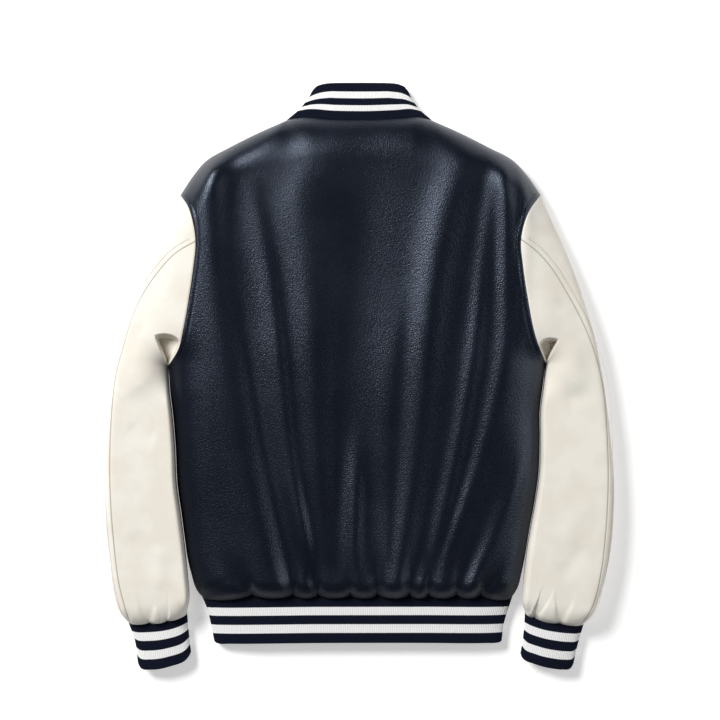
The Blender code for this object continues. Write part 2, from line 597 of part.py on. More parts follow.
# Rows of a sleeve as fractions of its outer edge, from the shoulder tip to the cuff. The back seam
# leaves the armhole at BACK_SEAM_ROW; the armhole ends in the armpit at ARMPIT_ROW.
BACK_SEAM_ROW = 0.100
ARMPIT_ROW = 0.388
SLEEVE_ROWS = np.array([0.0, 0.014, 0.050, BACK_SEAM_ROW, 0.140, 0.180, 0.222, 0.266, 0.308, 0.346, 0.374,
                        0.384, ARMPIT_ROW, 0.402, 0.430, 0.475, 0.535, 0.600, 0.670, 0.740, 0.800,
                        0.855, 0.900, 0.935, 0.960, 0.979, 0.992, 1.0])
HEAD = SLEEVE_ROWS[SLEEVE_ROWS <= ARMPIT_ROW]
SEAM_AT = int(np.abs(SLEEVE_ROWS - BACK_SEAM_ROW).argmin())
PIT_AT = len(HEAD) - 1
BACK_SEAM_STOPS = (SLEEVE_ROWS[SEAM_AT:] - BACK_SEAM_ROW) / (1 - BACK_SEAM_ROW)
INNER_STOPS = (SLEEVE_ROWS[PIT_AT:] - ARMPIT_ROW) / (1 - ARMPIT_ROW)
UNDERARM_STOPS = HEAD / ARMPIT_ROW

# Columns across a sleeve: outer strip, the panel that shows, and the underside
STRIP_STEPS = np.array([0.0, 0.16, 0.50, 1.0])
UNDER_STEPS = np.array([0.0, 0.10, 0.20, 0.30, 0.41, 0.52, 0.63, 0.73, 0.82, 0.90, 0.96, 1.0])
BELOW_STEPS = np.array([0.0, 0.012, 0.045, 0.110, 0.200, 0.500, 0.800, 0.890, 0.955, 0.988, 1.0])
FOOT_STEPS = np.delete(BELOW_STEPS, -2)     # at the cuff, and wherever the last step is the rise


def seam_run(plan, stops, z, inward, on_slope=False):
    # A sewn line that two pieces share: both follow its chords, half a gap to either side.
    # inward leads from the outer to the inner face of the wall. On a slope the gap opens along
    # the surface, else level.
    run = np.gradient(np.column_stack([plan, z if on_slope else 0 * z]), axis=0)
    normal = -inward if on_slope else np.array([[0.0, 0.0, 1.0]])
    aside = np.cross(normal, run)
    aside /= np.linalg.norm(aside, axis=1)[:, None]
    return {"stops": np.asarray(stops), "plan": plan, "z": z, "aside": aside, "inward": inward}


def on_seam(seam, stops, shift):
    # Plan, height and inward vector at the given stops, moved aside by shift
    plan, z, aside, inward = [
        np.column_stack([np.interp(stops, seam["stops"], column) for column in np.atleast_2d(seam[part].T)])
        for part in ("plan", "z", "aside", "inward")]
    return plan + shift * aside[:, :2], z[:, 0] + shift * aside[:, 2], inward


def level_unit(start, stop):
    step = np.array([stop[0] - start[0], stop[1] - start[1], 0.0])
    return step / np.linalg.norm(step)


def profile_normals(points, axis):
    # Normals of a row of points, square to the row and to the axis, upward
    normals = np.cross(np.gradient(points, axis=0), axis)
    normals /= np.linalg.norm(normals, axis=1)[:, None]
    return normals * np.where(normals[:, 2:] < 0, -1.0, 1.0)


def seam_fraction(line, point):
    # Position of the point along a line, as a fraction of its length
    places = np.linspace(0.0, 1.0, 401)
    gaps = np.linalg.norm(along(line, places) - point, axis=1)
    return places[gaps.argmin()]


def line_length(line):
    return np.linalg.norm(np.diff(line, axis=0), axis=1).sum()


def armhole_seams(side):
    # Upper and lower armhole. The back seam meets the upper one at the stop "joint".
    line = LINES[side]["armhole"]
    joint = seam_fraction(line, LINES[side]["back_seam"][0])
    stops = np.interp(HEAD, [0.0, BACK_SEAM_ROW, ARMPIT_ROW], [0.0, joint, 1.0])
    plan = along(line, stops)
    z = body_height(*plan.T)
    inward = -LEATHER * height_normals(body_height, *plan.T)
    z[[0, -1]] = EDGE_HEIGHT
    inward[0] = LEATHER * level_unit(plan[0], plan[1])
    inward[-1] = LEATHER * level_unit(plan[-1], plan[-2])
    upper = seam_run(plan, stops, z, inward)
    upper["joint"] = joint
    plan = along(line, UNDERARM_STOPS)
    z = body_under(*plan.T)
    inward = LEATHER * height_normals(body_under, *plan.T)
    z[[0, -1]] = EDGE_HEIGHT
    inward[[0, -1]] = upper["inward"][[0, -1]]
    # In the armpit the sleeve's pieces turn their wall away from the body
    away = upper["inward"][-1] + LEATHER * SIDES[side]["sign"] * upper["aside"][-1]
    upper["pit"] = LEATHER * away / np.linalg.norm(away)
    return upper, seam_run(plan, UNDERARM_STOPS, z, inward)


def cuff_stops(side):
    # Where the sleeve's columns meet the cuff: outer strip, back seam, panel, inner seam, rise
    line = LINES[side]["cuff_line"]
    gap = HALF_GAP / line_length(line)
    joint = seam_fraction(line, LINES[side]["back_seam"][-1])
    inner = 1.0 - SIDES[side]["seam_inset"][-1][1] / line_length(line)
    strip = (joint - gap) * STRIP_STEPS
    panel = joint + gap + (inner - joint - 2 * gap) * UNDER_STEPS
    return strip, panel, inner + gap


def cuff_seams(side):
    # The leather rolls down onto the cuff, so the upper seam is mitred between the two walls
    line = LINES[side]["cuff_line"]
    strip, panel, rise = cuff_stops(side)
    stops = np.concatenate([strip, panel, [rise, 1.0]])
    plan = along(line, stops)
    axis = np.cross(level_unit(plan[0], plan[-1]), (0.0, 0.0, 1.0))
    axis *= np.sign(axis[1])
    z = cuff_height(side, *plan.T)
    z[[0, -1]] = RIB_EDGE_HEIGHT
    normals = profile_normals(np.column_stack([plan, z]), axis)
    normals[0] = level_unit(plan[1], plan[0])
    normals[-1] = level_unit(plan[-2], plan[-1])
    upper = seam_run(plan, stops, z, LEATHER * axis - RIB_WALL * normals)
    plan = along(line, FOOT_STEPS)
    z = sleeve_under(side, *plan.T)
    z[[0, -1]] = RIB_EDGE_HEIGHT
    normals = profile_normals(np.column_stack([plan, z]), axis)
    lower = seam_run(plan, FOOT_STEPS, z, LEATHER * normals)
    for pair in ([len(strip) - 1, len(strip)], [-3, -2]):
        # Both sides of a sleeve seam end on one vector
        for part in ("z", "aside", "inward"):
            upper[part][pair] = upper[part][pair].mean(axis=0)
    up = np.array([axis[0], axis[1], 0.0]) * -SIDES[side]["sign"]
    for end in (0, -1):
        upper["inward"][end] = lower["inward"][end] = LEATHER * level_unit(plan[end], plan[-1 - end])
        upper["aside"][end] = lower["aside"][end] = up
    return upper, lower


def sleeve_seams(side, armhole, cuff):
    # Back seam and inner seam of a sleeve; both end on the armhole's and the cuff's own tables
    def height(x, y):
        return sleeve_height(side, x, y)

    inner_edge = along(LINES[side]["inner"], INNER_STOPS)
    outer_edge = along(LINES[side]["outer"], SLEEVE_ROWS[PIT_AT:])
    inset = np.interp(INNER_STOPS, *zip(*SIDES[side]["seam_inset"]))
    runs = []
    strip, panel, rise = cuff_stops(side)
    for plan, stops, head_stop, foot_stop in (
            (along(LINES[side]["back_seam"], BACK_SEAM_STOPS), BACK_SEAM_STOPS, armhole["joint"], strip[-1]),
            (inner_edge + level_inward(inner_edge, outer_edge)[:, :2] * inset[:, None],
             INNER_STOPS, 1.0, rise)):
        z = height(*plan.T)
        inward = -LEATHER * height_normals(height, *plan.T)
        head, foot = on_seam(armhole, [head_stop], 0.0), on_seam(cuff, [foot_stop], 0.0)
        plan[0], plan[-1] = head[0][0], foot[0][0]
        z[0], z[-1] = head[1][0], foot[1][0]
        inward[0], inward[-1] = head[2][0], foot[2][0]
        runs.append(seam_run(plan, stops, z, inward, on_slope=True))
    return runs


def back_columns():
    # x of each column on the hem: one at each pinch, even steps between, finer at the sides
    left_end = -SIDES["left"]["side"][-1][0]
    right_end = SIDES["right"]["side"][-1][0]
    steps = np.array(EDGE_STEPS)
    xs = list(left_end + steps * (HEM_PINCHES[0] - left_end))
    for start, stop in zip(HEM_PINCHES[:-1], HEM_PINCHES[1:]):
        count = max(2, round((stop - start) / COLUMN_WIDTH))
        xs += list(np.linspace(start, stop, count, endpoint=False))
    xs.append(HEM_PINCHES[-1])
    xs += list(right_end - steps[::-1] * (right_end - HEM_PINCHES[-1]))
    return np.array(sorted(set(np.round(xs, 6))))


def hem_seam():
    x = back_columns()
    stops = (x - x[0]) / (x[-1] - x[0])
    plan = np.column_stack([x, hem_seam_level(x)])
    z = rib_height(*plan.T)
    z[[0, -1]] = RIB_EDGE_HEIGHT
    axis = np.array([0.0, 1.0, 0.0])
    normals = profile_normals(np.column_stack([plan, z]), axis)
    seam = seam_run(plan, stops, z, LEATHER * axis - RIB_WALL * normals)
    for end, inside in ((0, 1.0), (-1, -1.0)):
        seam["aside"][end] = (0.0, 1.0, 0.0)
        seam["inward"][end] = (RIB_WALL * inside, 0.0, 0.0)
    return seam


def hem_front_seam(side):
    # Straight across a front, its stops the distances out from the centre line
    outs = front_columns(side)
    x = SIDES[side]["sign"] * outs
    z = RIB_EDGE_HEIGHT * (1.0 - rounded((outs[0] - outs) / RIB_UNDER_ROUND))
    plan = np.column_stack([x, np.full(len(x), HEM_FRONT_LEVEL)])
    normals = profile_normals(np.column_stack([plan, z]), np.array([0.0, 1.0, 0.0]))
    normals[0] = (-SIDES[side]["sign"], 0.0, 0.0)
    seam = seam_run(plan, -outs, z, LEATHER * normals)
    seam["aside"][:] = (0.0, 1.0, 0.0)
    return seam


def neck_seam(stops):
    plan = along(NECK, stops)
    z = body_height(*plan.T)
    z[[0, -1]] = EDGE_HEIGHT
    normals = profile_normals(np.column_stack([plan, z]), np.array([0.0, 1.0, 0.0]))
    normals[0] = (-1.0, 0.0, 0.0)
    normals[-1] = (1.0, 0.0, 0.0)
    return seam_run(plan, stops, z, -RIB_WALL * normals)


def front_neck_seam(side):
    # Its stops are the distances out from the centre line, which fall along the seam
    line = smooth_curve([SIDES[side]["shoulder"][0]] + FRONT_NECK)
    outs = front_columns(side)[NECK_AT:]
    up = np.interp(-outs, -line[:, 0], line[:, 1])
    plan = np.column_stack([SIDES[side]["sign"] * outs, up])
    z = body_under(*plan.T)
    normals = height_normals(body_under, *plan.T)
    z[0] = EDGE_HEIGHT
    normals[0] = level_unit(plan[0], plan[1])
    return seam_run(plan, -outs, z, LEATHER * normals)


def shared_seams():
    columns = back_columns()
    seams = {"hem": hem_seam()}
    between = columns[(columns >= HEM_PINCHES[LEFT_NECK_PINCH] - 1e-6)
                      & (columns <= HEM_PINCHES[RIGHT_NECK_PINCH] + 1e-6)]
    seams["neck"] = neck_seam((between - between[0]) / (between[-1] - between[0]))
    for side in SIDES:
        armhole, underarm = armhole_seams(side)
        cuff, cuff_below = cuff_seams(side)
        back_seam, inner_seam = sleeve_seams(side, armhole, cuff)
        seams[side] = {"armhole": armhole, "underarm": underarm, "cuff": cuff, "cuff_below": cuff_below,
                       "back_seam": back_seam, "inner_seam": inner_seam,
                       "front_neck": front_neck_seam(side), "hem_front": hem_front_seam(side)}
    return seams


# Back

BODY_PIT_ROW = 0.420        # the armpit's place down the body, as a fraction
BACK_LOWER_ROWS = [0.470, 0.530, 0.590, 0.650, 0.710, 0.765, 0.815, 0.860, 0.898, 0.930, 0.956, 0.977, 0.991,
                   1.0]
EDGE_STEPS = [0.0, 0.035, 0.120, 0.280, 0.520, 0.770]
COLUMN_WIDTH = 0.0128
LEFT_NECK_PINCH = 1         # the columns that lead up to the two neck corners
RIGHT_NECK_PINCH = 6


def body_boundary(side, lower_rows, seam, shift):
    # Plan of a body panel's side: the armhole, then the side seam
    armhole = on_seam(seam, seam["stops"], shift)[0]
    side_line = LINES[side]["side"].copy()
    side_line[0] = armhole[-1]
    lower = along(side_line, (np.array(lower_rows) - BODY_PIT_ROW) / (1 - BODY_PIT_ROW))
    return np.concatenate([armhole, lower])


def make_back(seams):
    rows = np.concatenate([BODY_PIT_ROW * UNDERARM_STOPS, BACK_LOWER_ROWS])
    across = seams["hem"]["stops"]
    hem_x = back_columns()
    neck_from, neck_to = [across[np.abs(hem_x - HEM_PINCHES[pinch]).argmin()]
                          for pinch in (LEFT_NECK_PINCH, RIGHT_NECK_PINCH)]
    left = body_boundary("left", BACK_LOWER_ROWS, seams["left"]["armhole"], HALF_GAP)
    right = body_boundary("right", BACK_LOWER_ROWS, seams["right"]["armhole"], -HALF_GAP)
    on_left = across < neck_from - 1e-6
    on_right = across > neck_to + 1e-6
    on_neck = ~(on_left | on_right)
    neck, neck_z, neck_inward = on_seam(seams["neck"], seams["neck"]["stops"], -HALF_GAP)
    shoulder_left = LINES["left"]["shoulder"][::-1].copy()
    shoulder_right = LINES["right"]["shoulder"].copy()
    shoulder_left[0], shoulder_left[-1] = left[0], neck[0]
    shoulder_right[0], shoulder_right[-1] = neck[-1], right[0]
    top = np.concatenate([along(shoulder_left, across[on_left] / neck_from), neck,
                          along(shoulder_right, (across[on_right] - neck_to) / (1 - neck_to))])
    low, low_z, low_inward = on_seam(seams["hem"], across, HALF_GAP)
    left[-1], right[-1] = low[0], low[-1]
    plan = coons(top, low, left, right, across, rows)
    x, y = plan[..., 0], plan[..., 1]
    outer = np.dstack([x, y, body_height(x, y)])
    side_rows = rows > BODY_PIT_ROW + 1e-9
    inward = LEATHER * toward_inside(outer, True)
    for side, column, beside in (("left", 0, 1), ("right", -1, -2)):
        outer[side_rows, column, 2] = body_edge(x, y)[side_rows, column] + HALF_GAP
        armhole = on_seam(seams[side]["armhole"], seams[side]["armhole"]["stops"], 0.0)
        outer[:PIT_AT + 1, column, 2] = armhole[1]
        inward[:PIT_AT + 1, column] = armhole[2]
        outer[[0, PIT_AT], column, 2] += HALF_GAP
        level = level_inward(outer[:, column], outer[:, beside])
        inward[side_rows, column] = LEATHER * level[side_rows]
        inward[-1, column] = LEATHER * np.array([-SIDES[side]["sign"], 0.0, 0.0])
    shoulders = on_left | on_right
    shoulders[[0, -1]] = False
    outer[0, shoulders, 2] = EDGE_HEIGHT + HALF_GAP
    inward[0, shoulders] = LEATHER * level_inward(outer[0], outer[3])[shoulders]
    outer[0, on_neck, 2] = neck_z
    inward[0, on_neck] = neck_inward
    for corner in np.flatnonzero(on_neck)[[0, -1]]:
        outer[0, corner, 2] = EDGE_HEIGHT + HALF_GAP
        inward[0, corner] = LEATHER * level_unit(outer[0, corner], outer[4, corner])
    outer[-1, 1:-1, 2] = low_z[1:-1]
    inward[-1, 1:-1] = low_inward[1:-1]
    wall_object("back", outer, outer + inward, "body")


# Fronts

FRONT_LOWER_ROWS = [0.450, 0.700, 0.898, 0.930, 0.956, 0.977, 0.991, 1.0]
FRONT_EDGE_STEPS = np.array([0.0, 0.0010, 0.0036, 0.0085, 0.0165, 0.0600])
FRONT_SHOULDER_STEPS = [0.0, 0.06, 0.15, 0.26, 0.42, 0.66]
NECK_AT = len(FRONT_EDGE_STEPS)     # the column that ends in the neck corner
NECK_STEPS = np.array([0.0, 0.0007, 0.0026])
FRONT_NECK_OUTS = np.array([0.0880, 0.0800, 0.0660, 0.0500, 0.0380, 0.0310, 0.0240, 0.0180, 0.0120,
                            COLLAR_END, -PLACKET])


def front_columns(side):
    # Distances out from the centre line: side, below the neck corner, then the neck's own
    corner = SIDES[side]["side"][-1][0]
    neck_corner = SIDES[side]["shoulder"][0][0]
    return np.concatenate([corner - FRONT_EDGE_STEPS, neck_corner - NECK_STEPS, FRONT_NECK_OUTS])


def channel_lift(x):
    # The surface takes the snap caps, so the cloth over them lies this much higher
    return CHANNEL * eased((CHANNEL_HALF + CHANNEL_RAMP - np.abs(x)) / CHANNEL_RAMP)


def inner_end_lift(x, wall):
    # The right front and the hem's inner end lie on the outer layer
    return (CHANNEL + wall + SEAM_GAP) * eased((INNER_END_FROM - x) / INNER_END_RAMP)


def make_front(side, seams):
    sign = SIDES[side]["sign"]
    rows = np.concatenate([BODY_PIT_ROW * UNDERARM_STOPS, FRONT_LOWER_ROWS])
    outs = front_columns(side)
    across = (outs[0] - outs) / (outs[0] - outs[-1])
    edge = body_boundary(side, FRONT_LOWER_ROWS, seams[side]["underarm"], -sign * HALF_GAP)
    neck, neck_z, neck_inward = on_seam(seams[side]["front_neck"], -outs[NECK_AT:], sign * HALF_GAP)
    shoulder = LINES[side]["shoulder"][::-1].copy()
    shoulder[0], shoulder[-1] = edge[0], neck[0]
    top = np.concatenate([along(shoulder, FRONT_SHOULDER_STEPS), neck])
    low, low_z, low_inward = on_seam(seams[side]["hem_front"], -outs, HALF_GAP)
    edge[-1] = low[0]
    centre = top[-1] + (low[-1] - top[-1]) * rows[:, None]
    plan = coons(top, low, edge, centre, across, rows, fall=3.0)
    x, y = plan[..., 0], plan[..., 1]
    lift = channel_lift(x) if side == "left" else inner_end_lift(x, LEATHER)
    outer = np.dstack([x, y, body_under(x, y) + lift])
    inward = LEATHER * toward_inside(outer, False)
    side_rows = rows > BODY_PIT_ROW + 1e-9
    armhole = on_seam(seams[side]["underarm"], UNDERARM_STOPS, 0.0)
    outer[:PIT_AT + 1, 0, 2], inward[:PIT_AT + 1, 0] = armhole[1], armhole[2]
    outer[[0, PIT_AT], 0, 2] -= HALF_GAP
    outer[side_rows, 0, 2] = body_edge(x, y)[side_rows, 0] - HALF_GAP
    inward[side_rows, 0] = LEATHER * level_inward(outer[:, 0], outer[:, 1])[side_rows]
    outer[0, 1:NECK_AT + 1, 2] = EDGE_HEIGHT - HALF_GAP
    inward[0, 1:NECK_AT] = LEATHER * level_inward(outer[0], outer[2])[1:NECK_AT]
    outer[0, NECK_AT + 1:, 2] = neck_z[1:] + lift[0, NECK_AT + 1:]
    inward[0, NECK_AT + 1:] = neck_inward[1:]
    inward[0, NECK_AT] = LEATHER * level_unit(outer[0, NECK_AT], outer[4, NECK_AT])
    outer[-1, 1:, 2] = low_z[1:] + lift[-1, 1:]
    inward[-1] = low_inward
    inward[1:, -1] = (0.0, 0.0, LEATHER)
    wall_object("front_" + side, outer, outer + inward, "body")


# Sleeves

def make_sleeve(side, seams):
    sign = SIDES[side]["sign"]
    armhole, underarm = seams[side]["armhole"], seams[side]["underarm"]
    cuff, cuff_below = seams[side]["cuff"], seams[side]["cuff_below"]
    strip_stops, panel_stops, rise_stop = cuff_stops(side)
    head, foot = sign * HALF_GAP, -sign * HALF_GAP
    past = HALF_GAP / line_length(LINES[side]["armhole"])
    joint = armhole["joint"]

    def height(x, y):
        return sleeve_height(side, x, y)

    def chain(*runs):
        # Plan, heights and inward vectors of several stretches, one after another
        return [np.concatenate(parts) for parts in zip(*runs)]

    # The panel that shows, from the back seam to the inner seam
    tip = on_seam(armhole, [joint + past], head)
    low = on_seam(cuff, panel_stops, foot)
    back_seam = chain(tip, on_seam(seams[side]["back_seam"], BACK_SEAM_STOPS[1:-1], -sign * HALF_GAP),
                      [part[:1] for part in low])
    inner = chain(tip, on_seam(armhole, armhole["stops"][SEAM_AT + 1:], head),
                  on_seam(seams[side]["inner_seam"], INNER_STOPS[1:-1], sign * HALF_GAP),
                  [part[-1:] for part in low])
    plan = coons(np.repeat(tip[0], len(UNDER_STEPS), axis=0), low[0], back_seam[0], inner[0],
                 UNDER_STEPS, BACK_SEAM_STOPS)
    x, y = plan[..., 0], plan[..., 1]
    outer = np.dstack([x, y, height(x, y)])
    inward = LEATHER * toward_inside(outer, True)
    for column, seam in ((0, back_seam), (-1, inner)):
        outer[:, column, 2], inward[:, column] = seam[1], seam[2]
    outer[PIT_AT - SEAM_AT, -1, 2] += HALF_GAP
    inward[PIT_AT - SEAM_AT, -1] = armhole["pit"]
    outer[-1, :, 2], inward[-1] = low[1], low[2]
    wall_object("sleeve_under_" + side, outer, outer + inward, "sleeve", apex=True)

    # The top sleeve: outer strip, over the outer edge, the whole underside, up to the inner seam
    rows = SLEEVE_ROWS
    tip = on_seam(armhole, [0.0], head)
    strip_low = on_seam(cuff, strip_stops, foot)
    below_low = on_seam(cuff_below, FOOT_STEPS, foot)
    foot_row = np.insert(below_low[0], -1, below_low[0][-2:].mean(axis=0), axis=0)
    outer_line = LINES[side]["outer"].copy()
    outer_line[0], outer_line[-1] = tip[0][0], strip_low[0][0]
    spine = along(outer_line, rows)
    strip_side = chain(tip, on_seam(armhole, armhole["stops"][1:SEAM_AT], head),
                       on_seam(armhole, [joint - past], head),
                       on_seam(seams[side]["back_seam"], BACK_SEAM_STOPS[1:-1], sign * HALF_GAP),
                       [part[-1:] for part in strip_low])
    inner_line = LINES[side]["inner"].copy()
    pit = on_seam(underarm, [1.0], head)
    inner_line[0], inner_line[-1] = pit[0][0], below_low[0][-1]
    under_side = np.concatenate([on_seam(underarm, UNDERARM_STOPS, head)[0],
                                 along(inner_line, INNER_STOPS[1:])])
    strip = coons(np.repeat(tip[0], len(STRIP_STEPS), axis=0), strip_low[0], spine, strip_side[0],
                  STRIP_STEPS, rows)
    below = coons(np.repeat(tip[0], len(BELOW_STEPS), axis=0), foot_row, spine, under_side,
                  BELOW_STEPS, rows)
    rise = chain(on_seam(underarm, UNDERARM_STOPS, head),
                 on_seam(seams[side]["inner_seam"], INNER_STOPS[1:-1], -sign * HALF_GAP),
                 on_seam(cuff, [rise_stop], foot))
    past_pit = np.arange(len(rows)) > PIT_AT
    edges = np.where(past_pit[:, None], below[:, -1], below[:, -2])
    plan = np.concatenate([strip[:, ::-1], below[:, 1:-2], edges[:, None], rise[0][:, None]], axis=1)
    x, y = plan[..., 0], plan[..., 1]
    spine_at = strip.shape[1] - 1
    z = sleeve_under(side, x, y)
    z[:, :spine_at] = height(x[:, :spine_at], y[:, :spine_at])
    edge_z = sleeve_edge(side, x, y)
    z[:, spine_at] = edge_z[:, spine_at]
    z[past_pit, -2] = edge_z[past_pit, -2]
    z[:, 0], z[:, -1] = strip_side[1], rise[1]
    z[PIT_AT, -1] -= HALF_GAP
    z[-1, :spine_at + 1] = strip_low[1][::-1]
    z[-1, spine_at + 1:-2] = below_low[1][1:-1]
    z[-1, -2] = RIB_EDGE_HEIGHT
    outer = np.dstack([x, y, z])
    inward = LEATHER * wrapped_inside(outer, spine_at + len(BELOW_STEPS) // 2)
    inward[:, 0], inward[:, -1] = strip_side[2], rise[2]
    inward[PIT_AT, -1] = armhole["pit"]
    inward[0] = tip[2]
    inward[-1, :spine_at + 1] = strip_low[2][::-1]
    inward[-1, spine_at + 1:-2] = below_low[2][1:-1]
    inward[-1, -2] = below_low[2][-1]
    wall_object("sleeve_top_" + side, outer, outer + inward, "sleeve", apex=True)


def wrapped_inside(points, low_column):
    # Grid normals of a wall that wraps round, turned so that they point up at its lowest part
    normals = grid_normals(points)
    return normals if normals[len(points) // 2, low_column, 2] > 0 else -normals


# Ribs

RIB_ROWS = np.array([0.0, 0.28, 1.0])
RIB_SPARE = 0.30            # of a rib step: nearer a seam's own stop than this, no line of its own


def rib_stops(seam_stops, length):
    # Lines of the ribs, low and raised in turn: the seam's own stops and even ones between them
    count = 2 * round(length / RIB_PITCH)
    even = np.linspace(0.0, 1.0, count + 1)
    near = np.abs(even[:, None] - seam_stops[None]).min(axis=1)
    return np.unique(np.concatenate([seam_stops, even[near > 2 * RIB_SPARE / count]]))


def raise_ribs(outer, normals, first, count):
    # Raised ribs on the outer points; the seam row keeps to its seam, the fold row rises only
    lift = np.zeros(outer.shape[1])
    lift[first + 1:first + count - 1:2] = RIB_RELIEF
    outer[1:-1] -= normals[1:-1] * lift[None, :, None]
    outer[-1, :, 2] += lift


def make_cuff(side, seams):
    shift = SIDES[side]["sign"] * HALF_GAP
    rows = RIB_ROWS
    fold = LINES[side]["cuff_fold"]
    across = rib_stops(seams[side]["cuff"]["stops"], line_length(LINES[side]["cuff_line"]))
    seam, seam_z, seam_inward = on_seam(seams[side]["cuff"], across, shift)
    below, below_z, below_inward = on_seam(seams[side]["cuff_below"], FOOT_STEPS, shift)
    outer_side, inner_side = LINES[side]["cuff_outer"].copy(), LINES[side]["cuff_inner"].copy()
    outer_side[0], inner_side[0] = seam[0], seam[-1]
    first, last = along(outer_side, rows), along(inner_side, rows)
    upper = coons(seam, along(fold, across), first, last, across, rows)
    lower = coons(below, along(fold, FOOT_STEPS), first, last, FOOT_STEPS, rows)[:, 1:-1][:, ::-1]
    plan = np.concatenate([upper, lower], axis=1)
    x, y = plan[..., 0], plan[..., 1]
    count = upper.shape[1]
    z = RIB_EDGE_HEIGHT * (1.0 - rounded(np.minimum(distance(LINES[side]["cuff_outer"], x, y),
                                                    distance(LINES[side]["cuff_inner"], x, y))
                                         / RIB_UNDER_ROUND))
    z[:, :count] = RIB_EDGE_HEIGHT + (CUFF_CROWN - RIB_EDGE_HEIGHT) * rounded(
        2 * np.minimum(across, 1 - across))[None]
    z[0] = np.concatenate([seam_z, below_z[1:-1][::-1]])
    outer = np.dstack([x, y, z])
    closed = np.concatenate([outer[:, -1:], outer, outer[:, :1]], axis=1)
    normals = wrapped_inside(closed, count + len(FOOT_STEPS) // 2)[:, 1:-1]
    inner = outer + RIB_WALL * normals
    inner[0] = outer[0] + np.concatenate([seam_inward, below_inward[1:-1][::-1]])
    raise_ribs(outer, normals, 0, count)
    wall_object("cuff_" + side, outer, inner, "rib", ring=True)


def make_hem(seams):
    rows = RIB_ROWS
    fold = smooth_curve(HEM_FOLD)
    corners = {side: LINES[side]["hem_side"][0, 0] for side in SIDES}
    across = rib_stops(seams["hem"]["stops"], corners["right"] - corners["left"])
    seam, seam_z, seam_inward = on_seam(seams["hem"], across, -HALF_GAP)
    first, last = along(LINES["left"]["hem_side"], rows), along(LINES["right"]["hem_side"], rows)
    first[0], last[0] = seam[0], seam[-1]
    plan = coons(seam, along(fold, across), first, last, across, rows)
    z = rib_height(plan[..., 0], plan[..., 1])
    z[:, 0] = z[:, -1] = RIB_EDGE_HEIGHT
    z[0] = seam_z
    upper = np.dstack([plan, z])
    halves, inwards = {}, {}
    for side in SIDES:
        # The ends under the fronts, from the side to past the centre line
        sign = SIDES[side]["sign"]
        corner = abs(corners[side])
        outs = front_columns(side)[1:]
        below, below_z, inwards[side] = on_seam(seams[side]["hem_front"], -outs, -HALF_GAP)
        narrowing = np.abs(along(LINES[side]["hem_side"], rows)[:, 0])[:, None] - corner
        share = np.clip((outs[None] - HEM_NARROWS_FROM) / HEM_NARROWS_RUN, 0.0, 1.0)
        x = sign * (outs[None] + narrowing * share)
        fold_y = np.interp(x[-1], fold[:, 0], fold[:, 1])
        y = below[:, 1][None] + (fold_y - below[:, 1])[None] * rows[:, None]
        z = RIB_EDGE_HEIGHT * (1.0 - rounded(distance(LINES[side]["hem_side"], x, y) / RIB_UNDER_ROUND))
        z[0] = below_z
        lift = channel_lift(x) if side == "left" else inner_end_lift(x, RIB_WALL)
        halves[side] = np.dstack([x, y, z + lift])
    outer = np.concatenate([halves["left"][:, ::-1], upper, halves["right"]], axis=1)
    normals = wrapped_inside(outer, len(FRONT_NECK_OUTS) // 2)
    inner = outer + RIB_WALL * normals
    start = halves["left"].shape[1]
    count = upper.shape[1]
    inner[0] = outer[0] + np.concatenate([inwards["left"][::-1], seam_inward, inwards["right"]])
    flat = np.r_[0:len(FRONT_NECK_OUTS), outer.shape[1] - len(FRONT_NECK_OUTS):outer.shape[1]]
    inner[1:, flat] = outer[1:, flat] + (0.0, 0.0, RIB_WALL)
    raise_ribs(outer, normals, start, count)
    wall_object("hem_rib", outer, inner, "rib")


COLLAR_ROWS = np.array([0.0, 0.35, 0.72, 1.0])
COLLAR_LEFT = [NECK_SEAM[0], (-0.0754, 0.3509), (-0.0649, 0.3661), COLLAR_FOLD[0]]
COLLAR_RIGHT = [NECK_SEAM[-1], (0.0761, 0.3492), (0.0657, 0.3648), COLLAR_FOLD[-1]]
COLLAR_SWELL = 0.003


